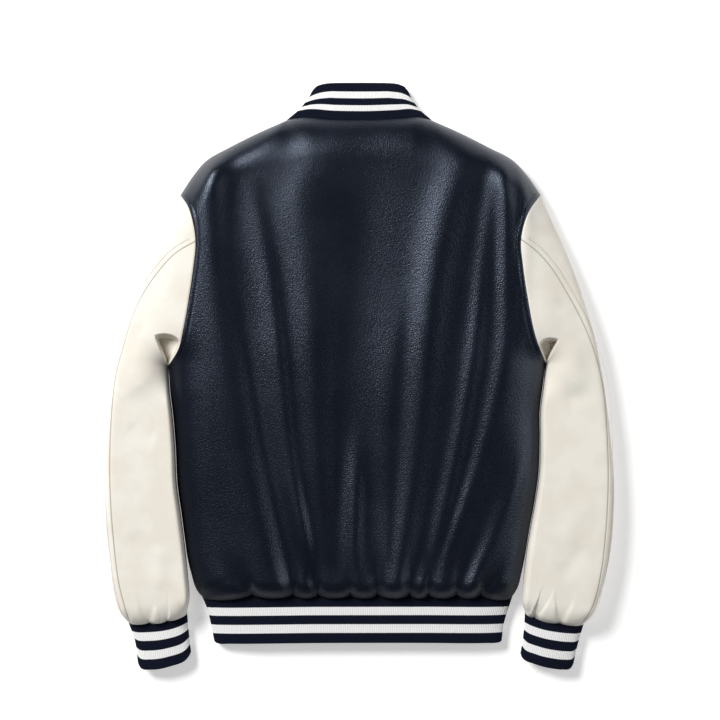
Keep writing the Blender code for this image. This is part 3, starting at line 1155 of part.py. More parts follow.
def make_collar(seams):
    rows = COLLAR_ROWS
    fold = smooth_curve(COLLAR_FOLD)
    across = rib_stops(seams["neck"]["stops"], line_length(NECK))
    seam, seam_z, seam_inward = on_seam(seams["neck"], across, HALF_GAP)
    lines = {"left": smooth_curve(COLLAR_LEFT), "right": smooth_curve(COLLAR_RIGHT)}
    edges = {side: along(line, rows) for side, line in lines.items()}
    edges["left"][0], edges["right"][0] = seam[0], seam[-1]
    plan = coons(seam, along(fold, across), edges["left"], edges["right"], across, rows)
    bow = rounded((1.0 - np.abs(2 * across - 1.0)) / 0.8)
    fold_z = COLLAR_SIDE + (COLLAR_TOP - COLLAR_SIDE) * bow
    swell = COLLAR_SWELL * np.sin(np.pi * rows)[:, None] * bow[None]
    upper = np.dstack([plan, seam_z[None] + (fold_z - seam_z)[None] * rows[:, None] + swell])
    halves, inwards = {}, {}
    for side, edge in edges.items():
        sign = SIDES[side]["sign"]
        outs = front_columns(side)[NECK_AT + 1:-1]
        below, below_z, inwards[side] = on_seam(seams[side]["front_neck"], -outs, -sign * HALF_GAP)
        seam_row = np.concatenate([edge[:1], below])
        steps = np.concatenate([[0.0], np.cumsum(np.linalg.norm(np.diff(seam_row, axis=0), axis=1))])
        steps /= steps[-1]
        front_fold = smooth_curve(placed(side, COLLAR_FRONT_FOLD))
        front_fold[0] = edge[-1]
        fold_row = along(front_fold, steps)
        end = seam_row[-1] + (fold_row[-1] - seam_row[-1]) * rows[:, None]
        plan = coons(seam_row, fold_row, edge, end, steps, rows)[:, 1:]
        x, y = plan[..., 0], plan[..., 1]
        edge_z = EDGE_HEIGHT + (COLLAR_SIDE - EDGE_HEIGHT) * rows[:, None]
        z = edge_z * (1.0 - rounded(distance(lines[side], x, y) / RIB_UNDER_ROUND))
        z[0] = below_z
        halves[side] = np.dstack([x, y, z])
    outer = np.concatenate([halves["left"][:, ::-1], upper, halves["right"]], axis=1)
    normals = wrapped_inside(outer, len(FRONT_NECK_OUTS) // 4)
    inner = outer + RIB_WALL * normals
    start = halves["left"].shape[1]
    count = upper.shape[1]
    inner[0] = outer[0] + np.concatenate([inwards["left"][::-1], seam_inward, inwards["right"]])
    raise_ribs(outer, normals, start, count)
    wall_object("collar", outer, inner, "rib")


# Snaps

def make_snap(name, y):
    # A low turned cap whose rim is bevelled where it faces out
    turn = np.arange(SNAP_SIDES) * 2 * np.pi / SNAP_SIDES
    circle = np.column_stack([np.cos(turn), np.sin(turn)])
    rings = [(SNAP_RADIUS - SNAP_BEVEL, 0.0), (SNAP_RADIUS, SNAP_BEVEL), (SNAP_RADIUS, SNAP_THICK)]
    points = np.concatenate([np.column_stack([radius * circle[:, 0], y + radius * circle[:, 1],
                                              np.full(SNAP_SIDES, z)]) for radius, z in rings])
    faces = [tuple(range(SNAP_SIDES))[::-1], tuple(range(2 * SNAP_SIDES, 3 * SNAP_SIDES))]
    for ring in range(2):
        for i in range(SNAP_SIDES):
            j = (i + 1) % SNAP_SIDES
            a, b = ring * SNAP_SIDES + i, ring * SNAP_SIDES + j
            faces.append((a, b, b + SNAP_SIDES, a + SNAP_SIDES))
    mesh_object(name, points, faces, "snap")


def clear_scene():
    for item in list(bpy.data.objects):
        bpy.data.objects.remove(item, do_unlink=True)


def centre_footprint():
    # The origin goes to the middle of the whole jacket's footprint
    meshes = [body.data for body in bpy.context.scene.objects]
    points = np.array([vertex.co for mesh in meshes for vertex in mesh.vertices])
    middle = (points.min(axis=0) + points.max(axis=0)) / 2
    for mesh in meshes:
        for vertex in mesh.vertices:
            vertex.co.x -= middle[0]
            vertex.co.y -= middle[1]
        mesh.update()


def main():
    clear_scene()
    seams = shared_seams()
    make_back(seams)
    for side in SIDES:
        make_front(side, seams)
        make_sleeve(side, seams)
        make_cuff(side, seams)
    make_hem(seams)
    make_collar(seams)
    for number, y in enumerate(np.linspace(SNAP_TOP, SNAP_LOW, SNAPS_ON_FRONTS), 1):
        make_snap("snap_%d" % number, y)
    make_snap("snap_hem", SNAP_ON_HEM)
    centre_footprint()


main()
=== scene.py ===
import bpy
import numpy as np
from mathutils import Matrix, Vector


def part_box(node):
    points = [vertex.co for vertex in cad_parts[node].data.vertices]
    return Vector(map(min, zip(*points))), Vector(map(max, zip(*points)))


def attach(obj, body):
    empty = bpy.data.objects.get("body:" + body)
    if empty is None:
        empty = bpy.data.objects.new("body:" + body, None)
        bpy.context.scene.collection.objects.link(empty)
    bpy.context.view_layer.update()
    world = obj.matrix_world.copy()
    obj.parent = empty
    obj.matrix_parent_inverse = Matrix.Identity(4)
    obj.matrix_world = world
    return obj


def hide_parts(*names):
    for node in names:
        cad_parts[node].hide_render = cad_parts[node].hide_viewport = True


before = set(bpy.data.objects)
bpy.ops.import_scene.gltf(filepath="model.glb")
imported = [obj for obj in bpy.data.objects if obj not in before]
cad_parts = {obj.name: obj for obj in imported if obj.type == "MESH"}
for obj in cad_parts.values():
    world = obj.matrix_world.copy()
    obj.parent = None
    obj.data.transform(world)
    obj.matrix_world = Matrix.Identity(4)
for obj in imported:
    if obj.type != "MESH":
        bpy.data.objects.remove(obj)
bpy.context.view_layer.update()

print("frame loaded:", len(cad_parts), "nodes")

# Sizes that several pieces share, in metres. The jacket lies face down: +Y points to the
# collar, +X to the wearer's right.
jacket = {
    "middle": (0.00021, 0.00013),   # from the tables' centre line to the middle of the footprint
    "leather": 0.0014,
    "rib": 0.0026,
    "edge": 0.018,                  # height where the upper and the lower layer meet
    "ribEdge": 0.012,
    "bodyCrown": 0.060,
    "hemCrown": 0.048,
    "crownFrom": 0.050,
    "crownRun": 0.300,
    "bodyRound": 0.056,
    "shoulderRound": {"left": 0.036, "right": 0.046},
    "underRound": 0.016,
    "ribUnderRound": 0.011,
    "roll": 0.024,                  # leather rolling over a gathered seam
    "cornerBlend": 4.0,
    "foldFade": 0.035,
    "foldRunout": 0.8,
    "placket": 0.014,
    "channel": 0.0016,
    "channelHalf": 0.012,
    "channelRamp": 0.012,
    "seamGap": 0.0003,
    "innerEndFrom": 0.038,
    "innerEndRamp": 0.014,
    "scallopFullness": 0.6,
    "neckRise": 0.0065,             # how far the back rises on past its neck seam
    "gatherRise": 0.004,            # the gathers start this softly above the hem seam
    "armholeStitch": 0.0065,        # from the seam to its topstitching
    "sleeveStitch": 0.0070,
}

# Outline of each side, (out, up): out is the distance from the centre line
sides = {
    "left": {
        "sign": -1,
        "shoulder": [(0.0942, 0.3338), (0.1391, 0.3136), (0.1689, 0.2985), (0.2018, 0.2790),
                     (0.2167, 0.2613), (0.2334, 0.2361)],
        "armhole": [(0.2334, 0.2361), (0.2227, 0.2218), (0.2144, 0.1976), (0.2113, 0.1737),
                    (0.2144, 0.1399), (0.2193, 0.1061), (0.2259, 0.0684), (0.2343, 0.0346),
                    (0.2490, 0.0125)],
        "outer": [(0.2334, 0.2361), (0.2529, 0.1932), (0.2750, 0.1386), (0.2958, 0.0801),
                  (0.3133, 0.0255), (0.3218, -0.0174), (0.3275, -0.0640), (0.3305, -0.1400),
                  (0.3296, -0.1994), (0.3241, -0.2410), (0.3205, -0.2774), (0.3127, -0.3034),
                  (0.3010, -0.3211)],
        "inner": [(0.2490, 0.0125), (0.2475, -0.0174), (0.2438, -0.0486), (0.2405, -0.0889),
                  (0.2379, -0.1422), (0.2327, -0.1799), (0.2275, -0.2202), (0.2236, -0.2579),
                  (0.2217, -0.2904), (0.2256, -0.3097)],
        "side": [(0.2490, 0.0125), (0.2480, 0.0000), (0.2469, -0.0174), (0.2432, -0.0486),
                 (0.2399, -0.0889), (0.2372, -0.1422), (0.2320, -0.1799), (0.2273, -0.2150),
                 (0.2250, -0.2319), (0.2195, -0.2560), (0.2110, -0.2800), (0.2048, -0.2875)],
        "backSeam": [(0.2113, 0.1737), (0.2366, 0.1594), (0.2594, 0.1360), (0.2789, 0.1087),
                     (0.2934, 0.0801), (0.3049, 0.0411), (0.3146, 0.0060), (0.3194, -0.0330),
                     (0.3218, -0.0694), (0.3227, -0.1344), (0.3175, -0.2150), (0.3115, -0.2644),
                     (0.2970, -0.3211)],
        "cuffSeam": [(0.3010, -0.3211), (0.2800, -0.3200), (0.2500, -0.3170), (0.2256, -0.3097)],
        "cuffOuter": [(0.3010, -0.3211), (0.2932, -0.3424), (0.2886, -0.3740)],
        "cuffFold": [(0.2886, -0.3740), (0.2850, -0.3798), (0.2704, -0.3813), (0.2465, -0.3769),
                     (0.2240, -0.3670), (0.2204, -0.3606)],
        "cuffInner": [(0.2256, -0.3097), (0.2232, -0.3366), (0.2204, -0.3606)],
        "hemSide": [(0.2048, -0.2875), (0.1994, -0.3000), (0.1934, -0.3227), (0.1890, -0.3458)],
    },
    "right": {
        "sign": 1,
        "shoulder": [(0.0930, 0.3338), (0.1290, 0.3180), (0.1678, 0.2985), (0.2006, 0.2807),
                     (0.2185, 0.2613), (0.2356, 0.2365)],
        "armhole": [(0.2356, 0.2365), (0.2184, 0.2133), (0.2087, 0.1841), (0.2077, 0.1763),
                    (0.2103, 0.1418), (0.2168, 0.0996), (0.2282, 0.0476), (0.2418, 0.0164)],
        "outer": [(0.2356, 0.2365), (0.2490, 0.2049), (0.2724, 0.1516), (0.2971, 0.0801),
                  (0.3075, 0.0411), (0.3153, 0.0021), (0.3218, -0.0434), (0.3275, -0.0954),
                  (0.3305, -0.1520), (0.3299, -0.1799), (0.3270, -0.2189), (0.3205, -0.2553),
                  (0.3127, -0.2839), (0.3036, -0.3073), (0.2916, -0.3232)],
        "inner": [(0.2418, 0.0164), (0.2392, -0.0109), (0.2353, -0.0434), (0.2353, -0.0824),
                  (0.2334, -0.1279), (0.2288, -0.1604), (0.2217, -0.1994), (0.2165, -0.2319),
                  (0.2126, -0.2709), (0.2113, -0.2943), (0.2162, -0.3091)],
        "side": [(0.2418, 0.0164), (0.2403, 0.0030), (0.2386, -0.0109), (0.2347, -0.0434),
                 (0.2347, -0.0824), (0.2328, -0.1279), (0.2282, -0.1604), (0.2210, -0.1994),
                 (0.2145, -0.2384), (0.2106, -0.2566), (0.2060, -0.2743), (0.1984, -0.2875)],
        "backSeam": [(0.2077, 0.1763), (0.2282, 0.1613), (0.2477, 0.1401), (0.2672, 0.1093),
                     (0.2899, 0.0671), (0.3062, 0.0248), (0.3159, -0.0207), (0.3198, -0.0694),
                     (0.3215, -0.1344), (0.3179, -0.2060), (0.3127, -0.2514), (0.3000, -0.3000),
                     (0.2860, -0.3228)],
        "cuffSeam": [(0.2916, -0.3232), (0.2603, -0.3200), (0.2395, -0.3165), (0.2162, -0.3091)],
        "cuffOuter": [(0.2916, -0.3232), (0.2842, -0.3485), (0.2782, -0.3753)],
        "cuffFold": [(0.2782, -0.3753), (0.2740, -0.3806), (0.2640, -0.3813), (0.2514, -0.3799),
                     (0.2275, -0.3739), (0.2120, -0.3668), (0.2102, -0.3625)],
        "cuffInner": [(0.2162, -0.3091), (0.2145, -0.3336), (0.2102, -0.3625)],
        "hemSide": [(0.1984, -0.2875), (0.1944, -0.2999), (0.1876, -0.3220), (0.1846, -0.3452)],
    },
}
neckSeam = [(-0.0942, 0.3338), (-0.0774, 0.3364), (-0.0371, 0.3338), (0.0098, 0.3330),
            (0.0553, 0.3355), (0.0761, 0.3370), (0.0930, 0.3338)]


def smoothCurve(points, perSpan=14):
    # A smooth line through the given points
    knots = np.array(points, float)
    spans = np.linalg.norm(np.diff(knots, axis=0), axis=1)
    travel = np.concatenate([[0.0], np.cumsum(spans)])
    tangents = np.gradient(knots, travel, axis=0)
    t = np.linspace(0.0, 1.0, perSpan, endpoint=False)[:, None]
    pieces = []
    for i, span in enumerate(spans):
        pieces.append((2 * t**3 - 3 * t**2 + 1) * knots[i]
                      + (t**3 - 2 * t**2 + t) * span * tangents[i]
                      + (3 * t**2 - 2 * t**3) * knots[i + 1]
                      + (t**3 - t**2) * span * tangents[i + 1])
    return np.concatenate(pieces + [knots[-1:]])


def lengthOf(line):
    return np.linalg.norm(np.diff(line, axis=0), axis=1).sum()


def along(line, fractions):
    # Points at the given fractions of a line's length
    travel = np.concatenate([[0.0], np.cumsum(np.linalg.norm(np.diff(line, axis=0), axis=1))])
    where = np.asarray(fractions) * travel[-1]
    return np.column_stack([np.interp(where, travel, line[:, k]) for k in range(line.shape[1])])


def joined(*lines):
    whole = np.concatenate(lines)
    step = np.linalg.norm(np.diff(whole, axis=0), axis=1)
    return whole[np.concatenate([[True], step > 1e-6])]


def nearest(line, x, y):
    # Distance in plan to a line, and how far along it (0 to 1) the nearest point is
    best = np.full(np.shape(x), 1e9)
    place = np.zeros(np.shape(x))
    for i, (start, stop) in enumerate(zip(line[:-1], line[1:])):
        span = stop - start
        awayX, awayY = x - start[0], y - start[1]
        t = np.clip((awayX * span[0] + awayY * span[1]) / (span @ span), 0.0, 1.0)
        gap = (awayX - t * span[0])**2 + (awayY - t * span[1])**2
        closer = gap < best
        best = np.where(closer, gap, best)
        place = np.where(closer, (i + t) / (len(line) - 1), place)
    return np.sqrt(best), place


def distance(line, x, y):
    return nearest(line, x, y)[0]


def rounded(t, power=2.0):
    # Quarter ellipse: steep at 0, level from 1 on. A higher power is squarer.
    return (1.0 - (1.0 - np.clip(t, 0.0, 1.0))**power)**(1.0 / power)


def movedAside(line, step):
    # The line moved by step to its left
    run = np.gradient(line, axis=0)
    run /= np.linalg.norm(run, axis=1)[:, None]
    return line + step * np.column_stack([-run[:, 1], run[:, 0]])


def eased(t):
    t = np.clip(t, 0.0, 1.0)
    return t * t * (3.0 - 2.0 * t)


def bell(t):
    return np.exp(-t**2)


def placed(side, points):
    # A side's table in world x and y
    return np.array(points, float) * (sides[side]["sign"], 1.0)


lines = {side: {name: smoothCurve(placed(side, table)) for name, table in tables.items() if name != "sign"}
         for side, tables in sides.items()}
for sideLines in lines.values():
    sideLines["outlineOuter"] = joined(sideLines["outer"], sideLines["cuffOuter"])
    sideLines["outlineInner"] = joined(sideLines["inner"], sideLines["cuffInner"])
neck = smoothCurve(neckSeam)
neckHalf = (neck[-1, 0] - neck[0, 0]) / 2
neckRise = jacket["neckRise"] * (1.0 - (neck[:, 0] / neckHalf)**2).clip(0.0)
neckTop = neck + np.column_stack([0 * neckRise, neckRise])
shoulderSides = {side: joined(here["outer"][::-1], here["shoulder"][::-1]) for side, here in lines.items()}
upperOutline = joined(shoulderSides["left"], neckTop, shoulderSides["right"][::-1])

# Folds that run down the back. A crest's points are (x, y, height), a trough's heights are below
# 0, and left and right are the widths of its flanks at its upper and its lower end.
backFolds = [
    {"crest": [(-0.192, 0.292, 0.009), (-0.193, 0.200, 0.007), (-0.181, 0.047, 0.004),
               (-0.163, -0.069, 0.004), (-0.126, -0.225, 0.006)],
     "left": (0.018, 0.036), "right": (0.020, 0.024)},
    {"crest": [(-0.150, 0.080, -0.001), (-0.139, 0.008, -0.003), (-0.122, -0.095, -0.003),
               (-0.099, -0.210, -0.002)],
     "left": (0.014, 0.012), "right": (0.012, 0.012)},
    {"crest": [(-0.131, 0.208, 0.002), (-0.119, 0.144, 0.003), (-0.108, 0.060, 0.004),
               (-0.088, -0.120, 0.004), (-0.073, -0.200, 0.006)],
     "left": (0.017, 0.012), "right": (0.012, 0.010)},
    {"crest": [(-0.052, 0.290, 0.002), (-0.074, 0.228, 0.004), (-0.066, 0.150, 0.005),
               (-0.056, -0.030, 0.004), (-0.048, -0.159, 0.004)],
     "left": (0.034, 0.012), "right": (0.042, 0.014)},
    {"crest": [(-0.005, -0.080, 0.001), (-0.006, -0.140, 0.005), (-0.010, -0.262, 0.005)],
     "left": (0.013, 0.014), "right": (0.012, 0.014)},
    {"crest": [(0.047, 0.060, 0.001), (0.038, -0.030, 0.002), (0.035, -0.159, 0.002), (0.032, -0.243, 0.003)],
     "left": (0.021, 0.012), "right": (0.012, 0.008)},
    {"crest": [(0.142, 0.305, 0.002), (0.116, 0.228, 0.006), (0.099, 0.144, 0.007), (0.075, -0.082, 0.005),
               (0.050, -0.256, 0.006)],
     "left": (0.031, 0.012), "right": (0.030, 0.014)},
    {"crest": [(0.176, 0.279, 0.002), (0.158, 0.137, 0.002), (0.149, 0.047, 0.003), (0.133, -0.056, 0.003),
               (0.090, -0.256, 0.003)],
     "left": (0.010, 0.012), "right": (0.012, 0.010)},
    {"crest": [(0.188, 0.273, 0.007), (0.189, 0.125, 0.004), (0.188, 0.047, 0.003), (0.166, -0.069, 0.003),
               (0.105, -0.256, 0.004)],
     "left": (0.012, 0.011), "right": (0.014, 0.024)},
    {"crest": [(0.212, 0.260, 0.006), (0.215, 0.195, 0.004), (0.210, 0.099, 0.002)],
     "left": (0.010, 0.008), "right": (0.010, 0.010)},
    {"crest": [(0.207, -0.133, 0.003), (0.179, -0.198, 0.003), (0.140, -0.273, 0.003)],
     "left": (0.018, 0.012), "right": (0.020, 0.014)},
    {"crest": [(0.011, 0.292, -0.001), (0.008, 0.202, -0.003), (0.001, 0.112, -0.003),
               (-0.028, -0.069, -0.003), (-0.030, -0.185, -0.002)],
     "left": (0.036, 0.026), "right": (0.044, 0.032)},
]

# Gathers of the hem seam, from left to right: depth of the pinch, its half width, how far it
# runs up, and how far its top leans to the right
hemGathers = [
    {"x": -0.1398, "depth": 0.0060, "width": 0.0075, "reach": 0.044, "lean": -0.020},
    {"x": -0.0865, "depth": 0.0070, "width": 0.0070, "reach": 0.052, "lean": -0.006},
    {"x": -0.0540, "depth": 0.0060, "width": 0.0060, "reach": 0.046, "lean": -0.008},
    {"x": -0.0124, "depth": 0.0062, "width": 0.0065, "reach": 0.046, "lean": -0.002},
    {"x": 0.0228, "depth": 0.0066, "width": 0.0070, "reach": 0.050, "lean": 0.002},
    {"x": 0.0644, "depth": 0.0058, "width": 0.0060, "reach": 0.044, "lean": 0.004},
    {"x": 0.0891, "depth": 0.0064, "width": 0.0065, "reach": 0.050, "lean": 0.008},
    {"x": 0.1255, "depth": 0.0058, "width": 0.0060, "reach": 0.044, "lean": 0.014},
    {"x": 0.1567, "depth": 0.0054, "width": 0.0060, "reach": 0.040, "lean": 0.018},
]
hemSeamAt = {"level": -0.2826, "corner": -0.2875, "scallop": 0.0060}


def foldRelief(folds, x, y):
    # Sum of the folds down the back. Each follows its crest row by row, and swells and sinks
    # with the crest's own height.
    total = np.zeros(np.shape(x))
    for fold in folds:
        crest = np.array(fold["crest"])
        above = crest[0] + jacket["foldRunout"] * (crest[0] - crest[1])
        below = crest[-1] + jacket["foldRunout"] * (crest[-1] - crest[-2])
        above[2] = below[2] = 0.0
        line = smoothCurve([above, *crest, below], 6)
        middle, height = [np.interp(-y, -line[:, 1], line[:, k]) for k in (0, 2)]
        place = ((above[1] - y) / (above[1] - below[1])).clip(0.0, 1.0)
        left, right = [fold[flank][0] + (fold[flank][1] - fold[flank][0]) * place
                       for flank in ("left", "right")]
        total += height * bell((x - middle) / np.where(x < middle, left, right))
    return total


def creaseRelief(folds, x, y):
    # Sum of a sleeve's creases: each swells along its line and dies out at both ends
    total = np.zeros(np.shape(x))
    for fold in folds:
        line = smoothCurve(fold["line"], 8)
        gap, place = nearest(line, x, y)
        ends = eased(place / sleeves["creaseFade"]) * eased((1.0 - place) / sleeves["creaseFade"])
        total += fold["height"] * bell(gap / fold["width"]) * ends
    return total


def hemSeamLevel(x):
    # y of the hem seam: pinched up at each gather, hanging in a round scallop between two
    stops = np.array([-sides["left"]["side"][-1][0]] + [gather["x"] for gather in hemGathers]
                     + [sides["right"]["side"][-1][0]])
    x = np.clip(x, stops[0], stops[-1])
    slot = np.clip(np.searchsorted(stops, x, side="right") - 1, 0, len(stops) - 2)
    t = (x - stops[slot]) / (stops[slot + 1] - stops[slot])
    hang = (4.0 * t * (1.0 - t)).clip(0.0)**jacket["scallopFullness"]
    ends = np.where(slot == 0, 1.0 - t, np.where(slot == len(stops) - 2, t, 0.0))
    return (hemSeamAt["level"] - hemSeamAt["scallop"] * hang
            - ends * (hemSeamAt["level"] - hemSeamAt["corner"]))


def gatherRelief(x, y):
    above = y - hemSeamLevel(x)
    total = np.zeros(np.shape(x))
    for gather in hemGathers:
        middle = gather["x"] + gather["lean"] * above / gather["reach"]
        width = gather["width"] * (1.0 + above.clip(0.0) / gather["reach"])
        total -= gather["depth"] * bell((x - middle) / width) * bell(above / gather["reach"])
    return total * eased(above / jacket["gatherRise"])


# Hem rib
hem = {
    "fold": [(-0.1890, -0.3458), (-0.1877, -0.3470), (-0.1842, -0.3480), (-0.1700, -0.3479),
             (-0.0600, -0.3467), (0.0900, -0.3465), (0.1660, -0.3470), (0.1800, -0.3469),
             (0.1834, -0.3462), (0.1846, -0.3452)],
    "crown": 0.026,
    "round": 0.060,
    "narrowsFrom": 0.040,
    "narrowsRun": 0.080,
    "bands": (0.0138, 0.0247, 0.0367, 0.0469, 0.0605),   # edges of the stripes, up from the fold
    "tuckedIn": 0.004,          # how far the knit runs on under the leather
    "cornerRun": 0.02,          # share of its width over which its seam rises to the corners
    "rowStep": 0.0042,
    "cut": (0.790, 0.126),
}


def ribHeight(x, y):
    halves = {side: np.interp(-y, -lines[side]["hemSide"][:, 1], np.abs(lines[side]["hemSide"][:, 0]))
              for side in sides}
    inside = np.minimum(x + halves["left"], halves["right"] - x).clip(0.0)
    return jacket["ribEdge"] + (hem["crown"] - jacket["ribEdge"]) * rounded(inside / hem["round"])


def bodyHeight(x, y, sleeve=None):
    # Upper layer of the body. A sleeve's head uses it too, with the sleeve's inner edge in
    # place of the body's side.
    edges = [(neckTop, jacket["bodyRound"])]
    edges += [(shoulderSides[side], jacket["shoulderRound"][side]) for side in sides]
    edges += [(lines[side]["inner" if side == sleeve else "side"], jacket["bodyRound"]) for side in sides]
    power = jacket["cornerBlend"]
    closeness = sum((distance(line, x, y) / turn).clip(1e-6)**-power for line, turn in edges)
    inside = jacket["bodyRound"] * closeness**(-1.0 / power)
    crown = jacket["bodyCrown"] + (jacket["hemCrown"] - jacket["bodyCrown"]) * eased(
        (jacket["crownFrom"] - y) / jacket["crownRun"])
    height = jacket["edge"] + (crown - jacket["edge"]) * rounded(inside / jacket["bodyRound"])
    height = height + foldRelief(backFolds, x, y) * eased(inside / jacket["foldFade"])
    if sleeve:
        return height
    height = height + gatherRelief(x, y) * eased(inside / jacket["foldFade"])
    mix = rounded((y - hemSeamLevel(x)) / jacket["roll"])
    return ribHeight(x, y) + (height - ribHeight(x, y)) * mix


def bodyEdge(x, y):
    # Height of the side seam, lower beside the hem
    return jacket["ribEdge"] + (jacket["edge"] - jacket["ribEdge"]) * eased(
        (y - hemSeamLevel(x)) / jacket["roll"])


def bodyUnder(x, y):
    # Lower layer of the body: flat where it rests, rounding up to the outline
    inside = np.minimum(distance(upperOutline, x, y),
                        np.minimum(distance(lines["left"]["side"], x, y),
                                   distance(lines["right"]["side"], x, y)))
    return bodyEdge(x, y) * (1.0 - rounded(inside / jacket["underRound"]))


# Sleeves
sleeves = {
    "crown": 0.047,
    "round": 0.17,              # share of the width over which the outer edge rounds up
    "innerRound": 0.085,        # and the inner edge
    "square": 3.6,              # how square that rounding is
    "headBlend": 0.090,
    "pitBlend": 0.050,          # the same, down from the armpit
    "cuffCrown": 0.027,
    "creaseFade": 0.25,         # share of a crease's line over which each end dies out
    "backSeamRow": 0.100,       # along the outer edge, where the back seam leaves the armhole
    "armpitRow": 0.388,
    "scallop": 0.0026,
    "pinchDepth": 0.0040,
    "pinchWidth": 0.07,
    "pinchReach": 0.028,
    "left": {
        "inset": [(0.0, 0.0), (0.04, 0.0012), (1.0, 0.0012)],     # inner seam to inner edge
        "pinches": [0.36, 0.66],
        "tuck": {"top": (0.2635, 0.0500), "depth": 0.80, "lip": 0.0535},
        "folds": [
            {"line": [(-0.282, 0.060), (-0.268, 0.052), (-0.250, 0.058)], "width": 0.012, "height": 0.0016},
            {"line": [(-0.300, 0.018), (-0.286, 0.014), (-0.270, 0.022)], "width": 0.011, "height": -0.0012},
            {"line": [(-0.300, -0.060), (-0.282, -0.075), (-0.262, -0.082)],
             "width": 0.014, "height": -0.0012},
            {"line": [(-0.296, -0.200), (-0.280, -0.225), (-0.266, -0.262)],
             "width": 0.011, "height": -0.0014},
            {"line": [(-0.262, -0.215), (-0.258, -0.245), (-0.256, -0.280)],
             "width": 0.010, "height": 0.0013},
        ],
    },
    "right": {
        "inset": [(0.0, 0.0), (0.04, 0.0012), (0.30, 0.0012), (0.40, 0.0040), (0.75, 0.0080), (1.0, 0.0070)],
        "pinches": [0.42, 0.86],
        "tuck": {"top": (0.2548, 0.0430), "depth": 0.80, "lip": 0.0480},
        "folds": [
            {"line": [(0.268, 0.098), (0.256, 0.088), (0.244, 0.082)], "width": 0.010, "height": -0.0016},
            {"line": [(0.300, -0.010), (0.284, -0.022), (0.262, -0.030)], "width": 0.013, "height": -0.0016},
            {"line": [(0.298, -0.150), (0.280, -0.190), (0.262, -0.215)], "width": 0.013, "height": 0.0011},
            {"line": [(0.292, -0.215), (0.276, -0.240), (0.252, -0.262)], "width": 0.011, "height": -0.0013},
        ],
    },
}
tuckSpread = {"seam": 0.0050, "side": 0.0022, "lip": 0.0060, "foot": 0.0160, "below": 0.0120,
              "bow": 0.0030, "drop": 0.0080, "rise": 0.50}


def cuffSeamLine(side):
    # The cuff seam: the leather hangs in scallops between its pinches
    stops = np.array([0.0] + sleeves[side]["pinches"] + [1.0])
    places = np.linspace(0.0, 1.0, 81)
    slot = np.clip(np.searchsorted(stops, places, side="right") - 1, 0, len(stops) - 2)
    t = (places - stops[slot]) / (stops[slot + 1] - stops[slot])
    hang = sleeves["scallop"] * (4.0 * t * (1.0 - t)).clip(0.0)**jacket["scallopFullness"]
    return along(lines[side]["cuffSeam"], places) - np.column_stack([0 * hang, hang])


for sideName, sideLines in lines.items():
    sideLines["cuffLine"] = cuffSeamLine(sideName)
    outward = sides[sideName]["sign"]
    sideLines["armholeStitch"] = movedAside(along(sideLines["armhole"], np.linspace(0.02, 0.97, 120)),
                                            -outward * jacket["armholeStitch"])
    sideLines["sleeveStitch"] = movedAside(along(sideLines["backSeam"], np.linspace(0.012, 0.975, 120)),
                                           outward * jacket["sleeveStitch"])


def sleeveRatio(side, x, y):
    # 0 on the sleeve's outer edge, 1 on its inner edge
    outer = distance(lines[side]["outlineOuter"], x, y)
    inner = distance(lines[side]["outlineInner"], x, y)
    return outer / (outer + inner).clip(1e-9)


def cuffHeight(side, x, y):
    ratio = sleeveRatio(side, x, y)
    return jacket["ribEdge"] + (sleeves["cuffCrown"] - jacket["ribEdge"]) * rounded(
        2 * np.minimum(ratio, 1 - ratio))


def armpitTuck(side, x, y):
    # Below the armhole the sleeve folds in under its own edge: the share of its height that it
    # loses there. The pocket is deepest along that edge and rises towards the seam, and a
    # rounded lip closes it above.
    tuck = sleeves[side]["tuck"]
    top = np.array(tuck["top"])
    low = np.array(sides[side]["armhole"][-1])
    run = (low - top) / np.linalg.norm(low - top)
    beside = ((np.abs(x) - top[0]) * run[1] - (y - top[1]) * run[0]).clip(0.0)
    fromSeam = distance(lines[side]["armhole"], x, y)
    share = beside / (beside + fromSeam).clip(1e-6)
    lip = tuck["lip"] + tuckSpread["bow"] * 4 * share * (1 - share) - tuckSpread["drop"] * share**3
    return tuck["depth"] * (eased(fromSeam / tuckSpread["seam"]) * eased(beside / tuckSpread["side"])
                            * (1.0 - tuckSpread["rise"] * share) * eased((lip - y) / tuckSpread["lip"])
                            * eased((y - low[1] + tuckSpread["below"]) / tuckSpread["foot"]))


def sleeveHeight(side, x, y):
    # Upper layer of a sleeve
    ratio = sleeveRatio(side, x, y)
    crosswise = rounded(np.minimum(ratio / sleeves["round"], (1 - ratio) / sleeves["innerRound"]),
                        sleeves["square"])
    own = jacket["edge"] + (sleeves["crown"] - jacket["edge"]) * crosswise
    own = own + creaseRelief(sleeves[side]["folds"], x, y) * crosswise
    head = bodyHeight(x, y, side)
    mix = eased(distance(lines[side]["armhole"], x, y) / sleeves["headBlend"])
    mix = np.maximum(mix, eased((sides[side]["armhole"][-1][1] - y) / sleeves["pitBlend"]))
    height = head + (own - head) * mix
    height = jacket["edge"] + (height - jacket["edge"]) * (1.0 - armpitTuck(side, x, y))
    fromCuff, alongCuff = nearest(lines[side]["cuffLine"], x, y)
    pinch = sum(bell((alongCuff - place) / sleeves["pinchWidth"]) for place in sleeves[side]["pinches"])
    height = height - sleeves["pinchDepth"] * pinch * bell(fromCuff / sleeves["pinchReach"]) * crosswise
    cuff = cuffHeight(side, x, y)
    return cuff + (height - cuff) * rounded(fromCuff / jacket["roll"])


def sleeveEdge(side, x, y):
    fromCuff = distance(lines[side]["cuffLine"], x, y)
    return jacket["ribEdge"] + (jacket["edge"] - jacket["ribEdge"]) * eased(fromCuff / jacket["roll"])


def sleeveUnder(side, x, y):
    inside = np.minimum(distance(upperOutline, x, y), distance(lines[side]["inner"], x, y))
    return sleeveEdge(side, x, y) * (1.0 - rounded(inside / jacket["underRound"]))


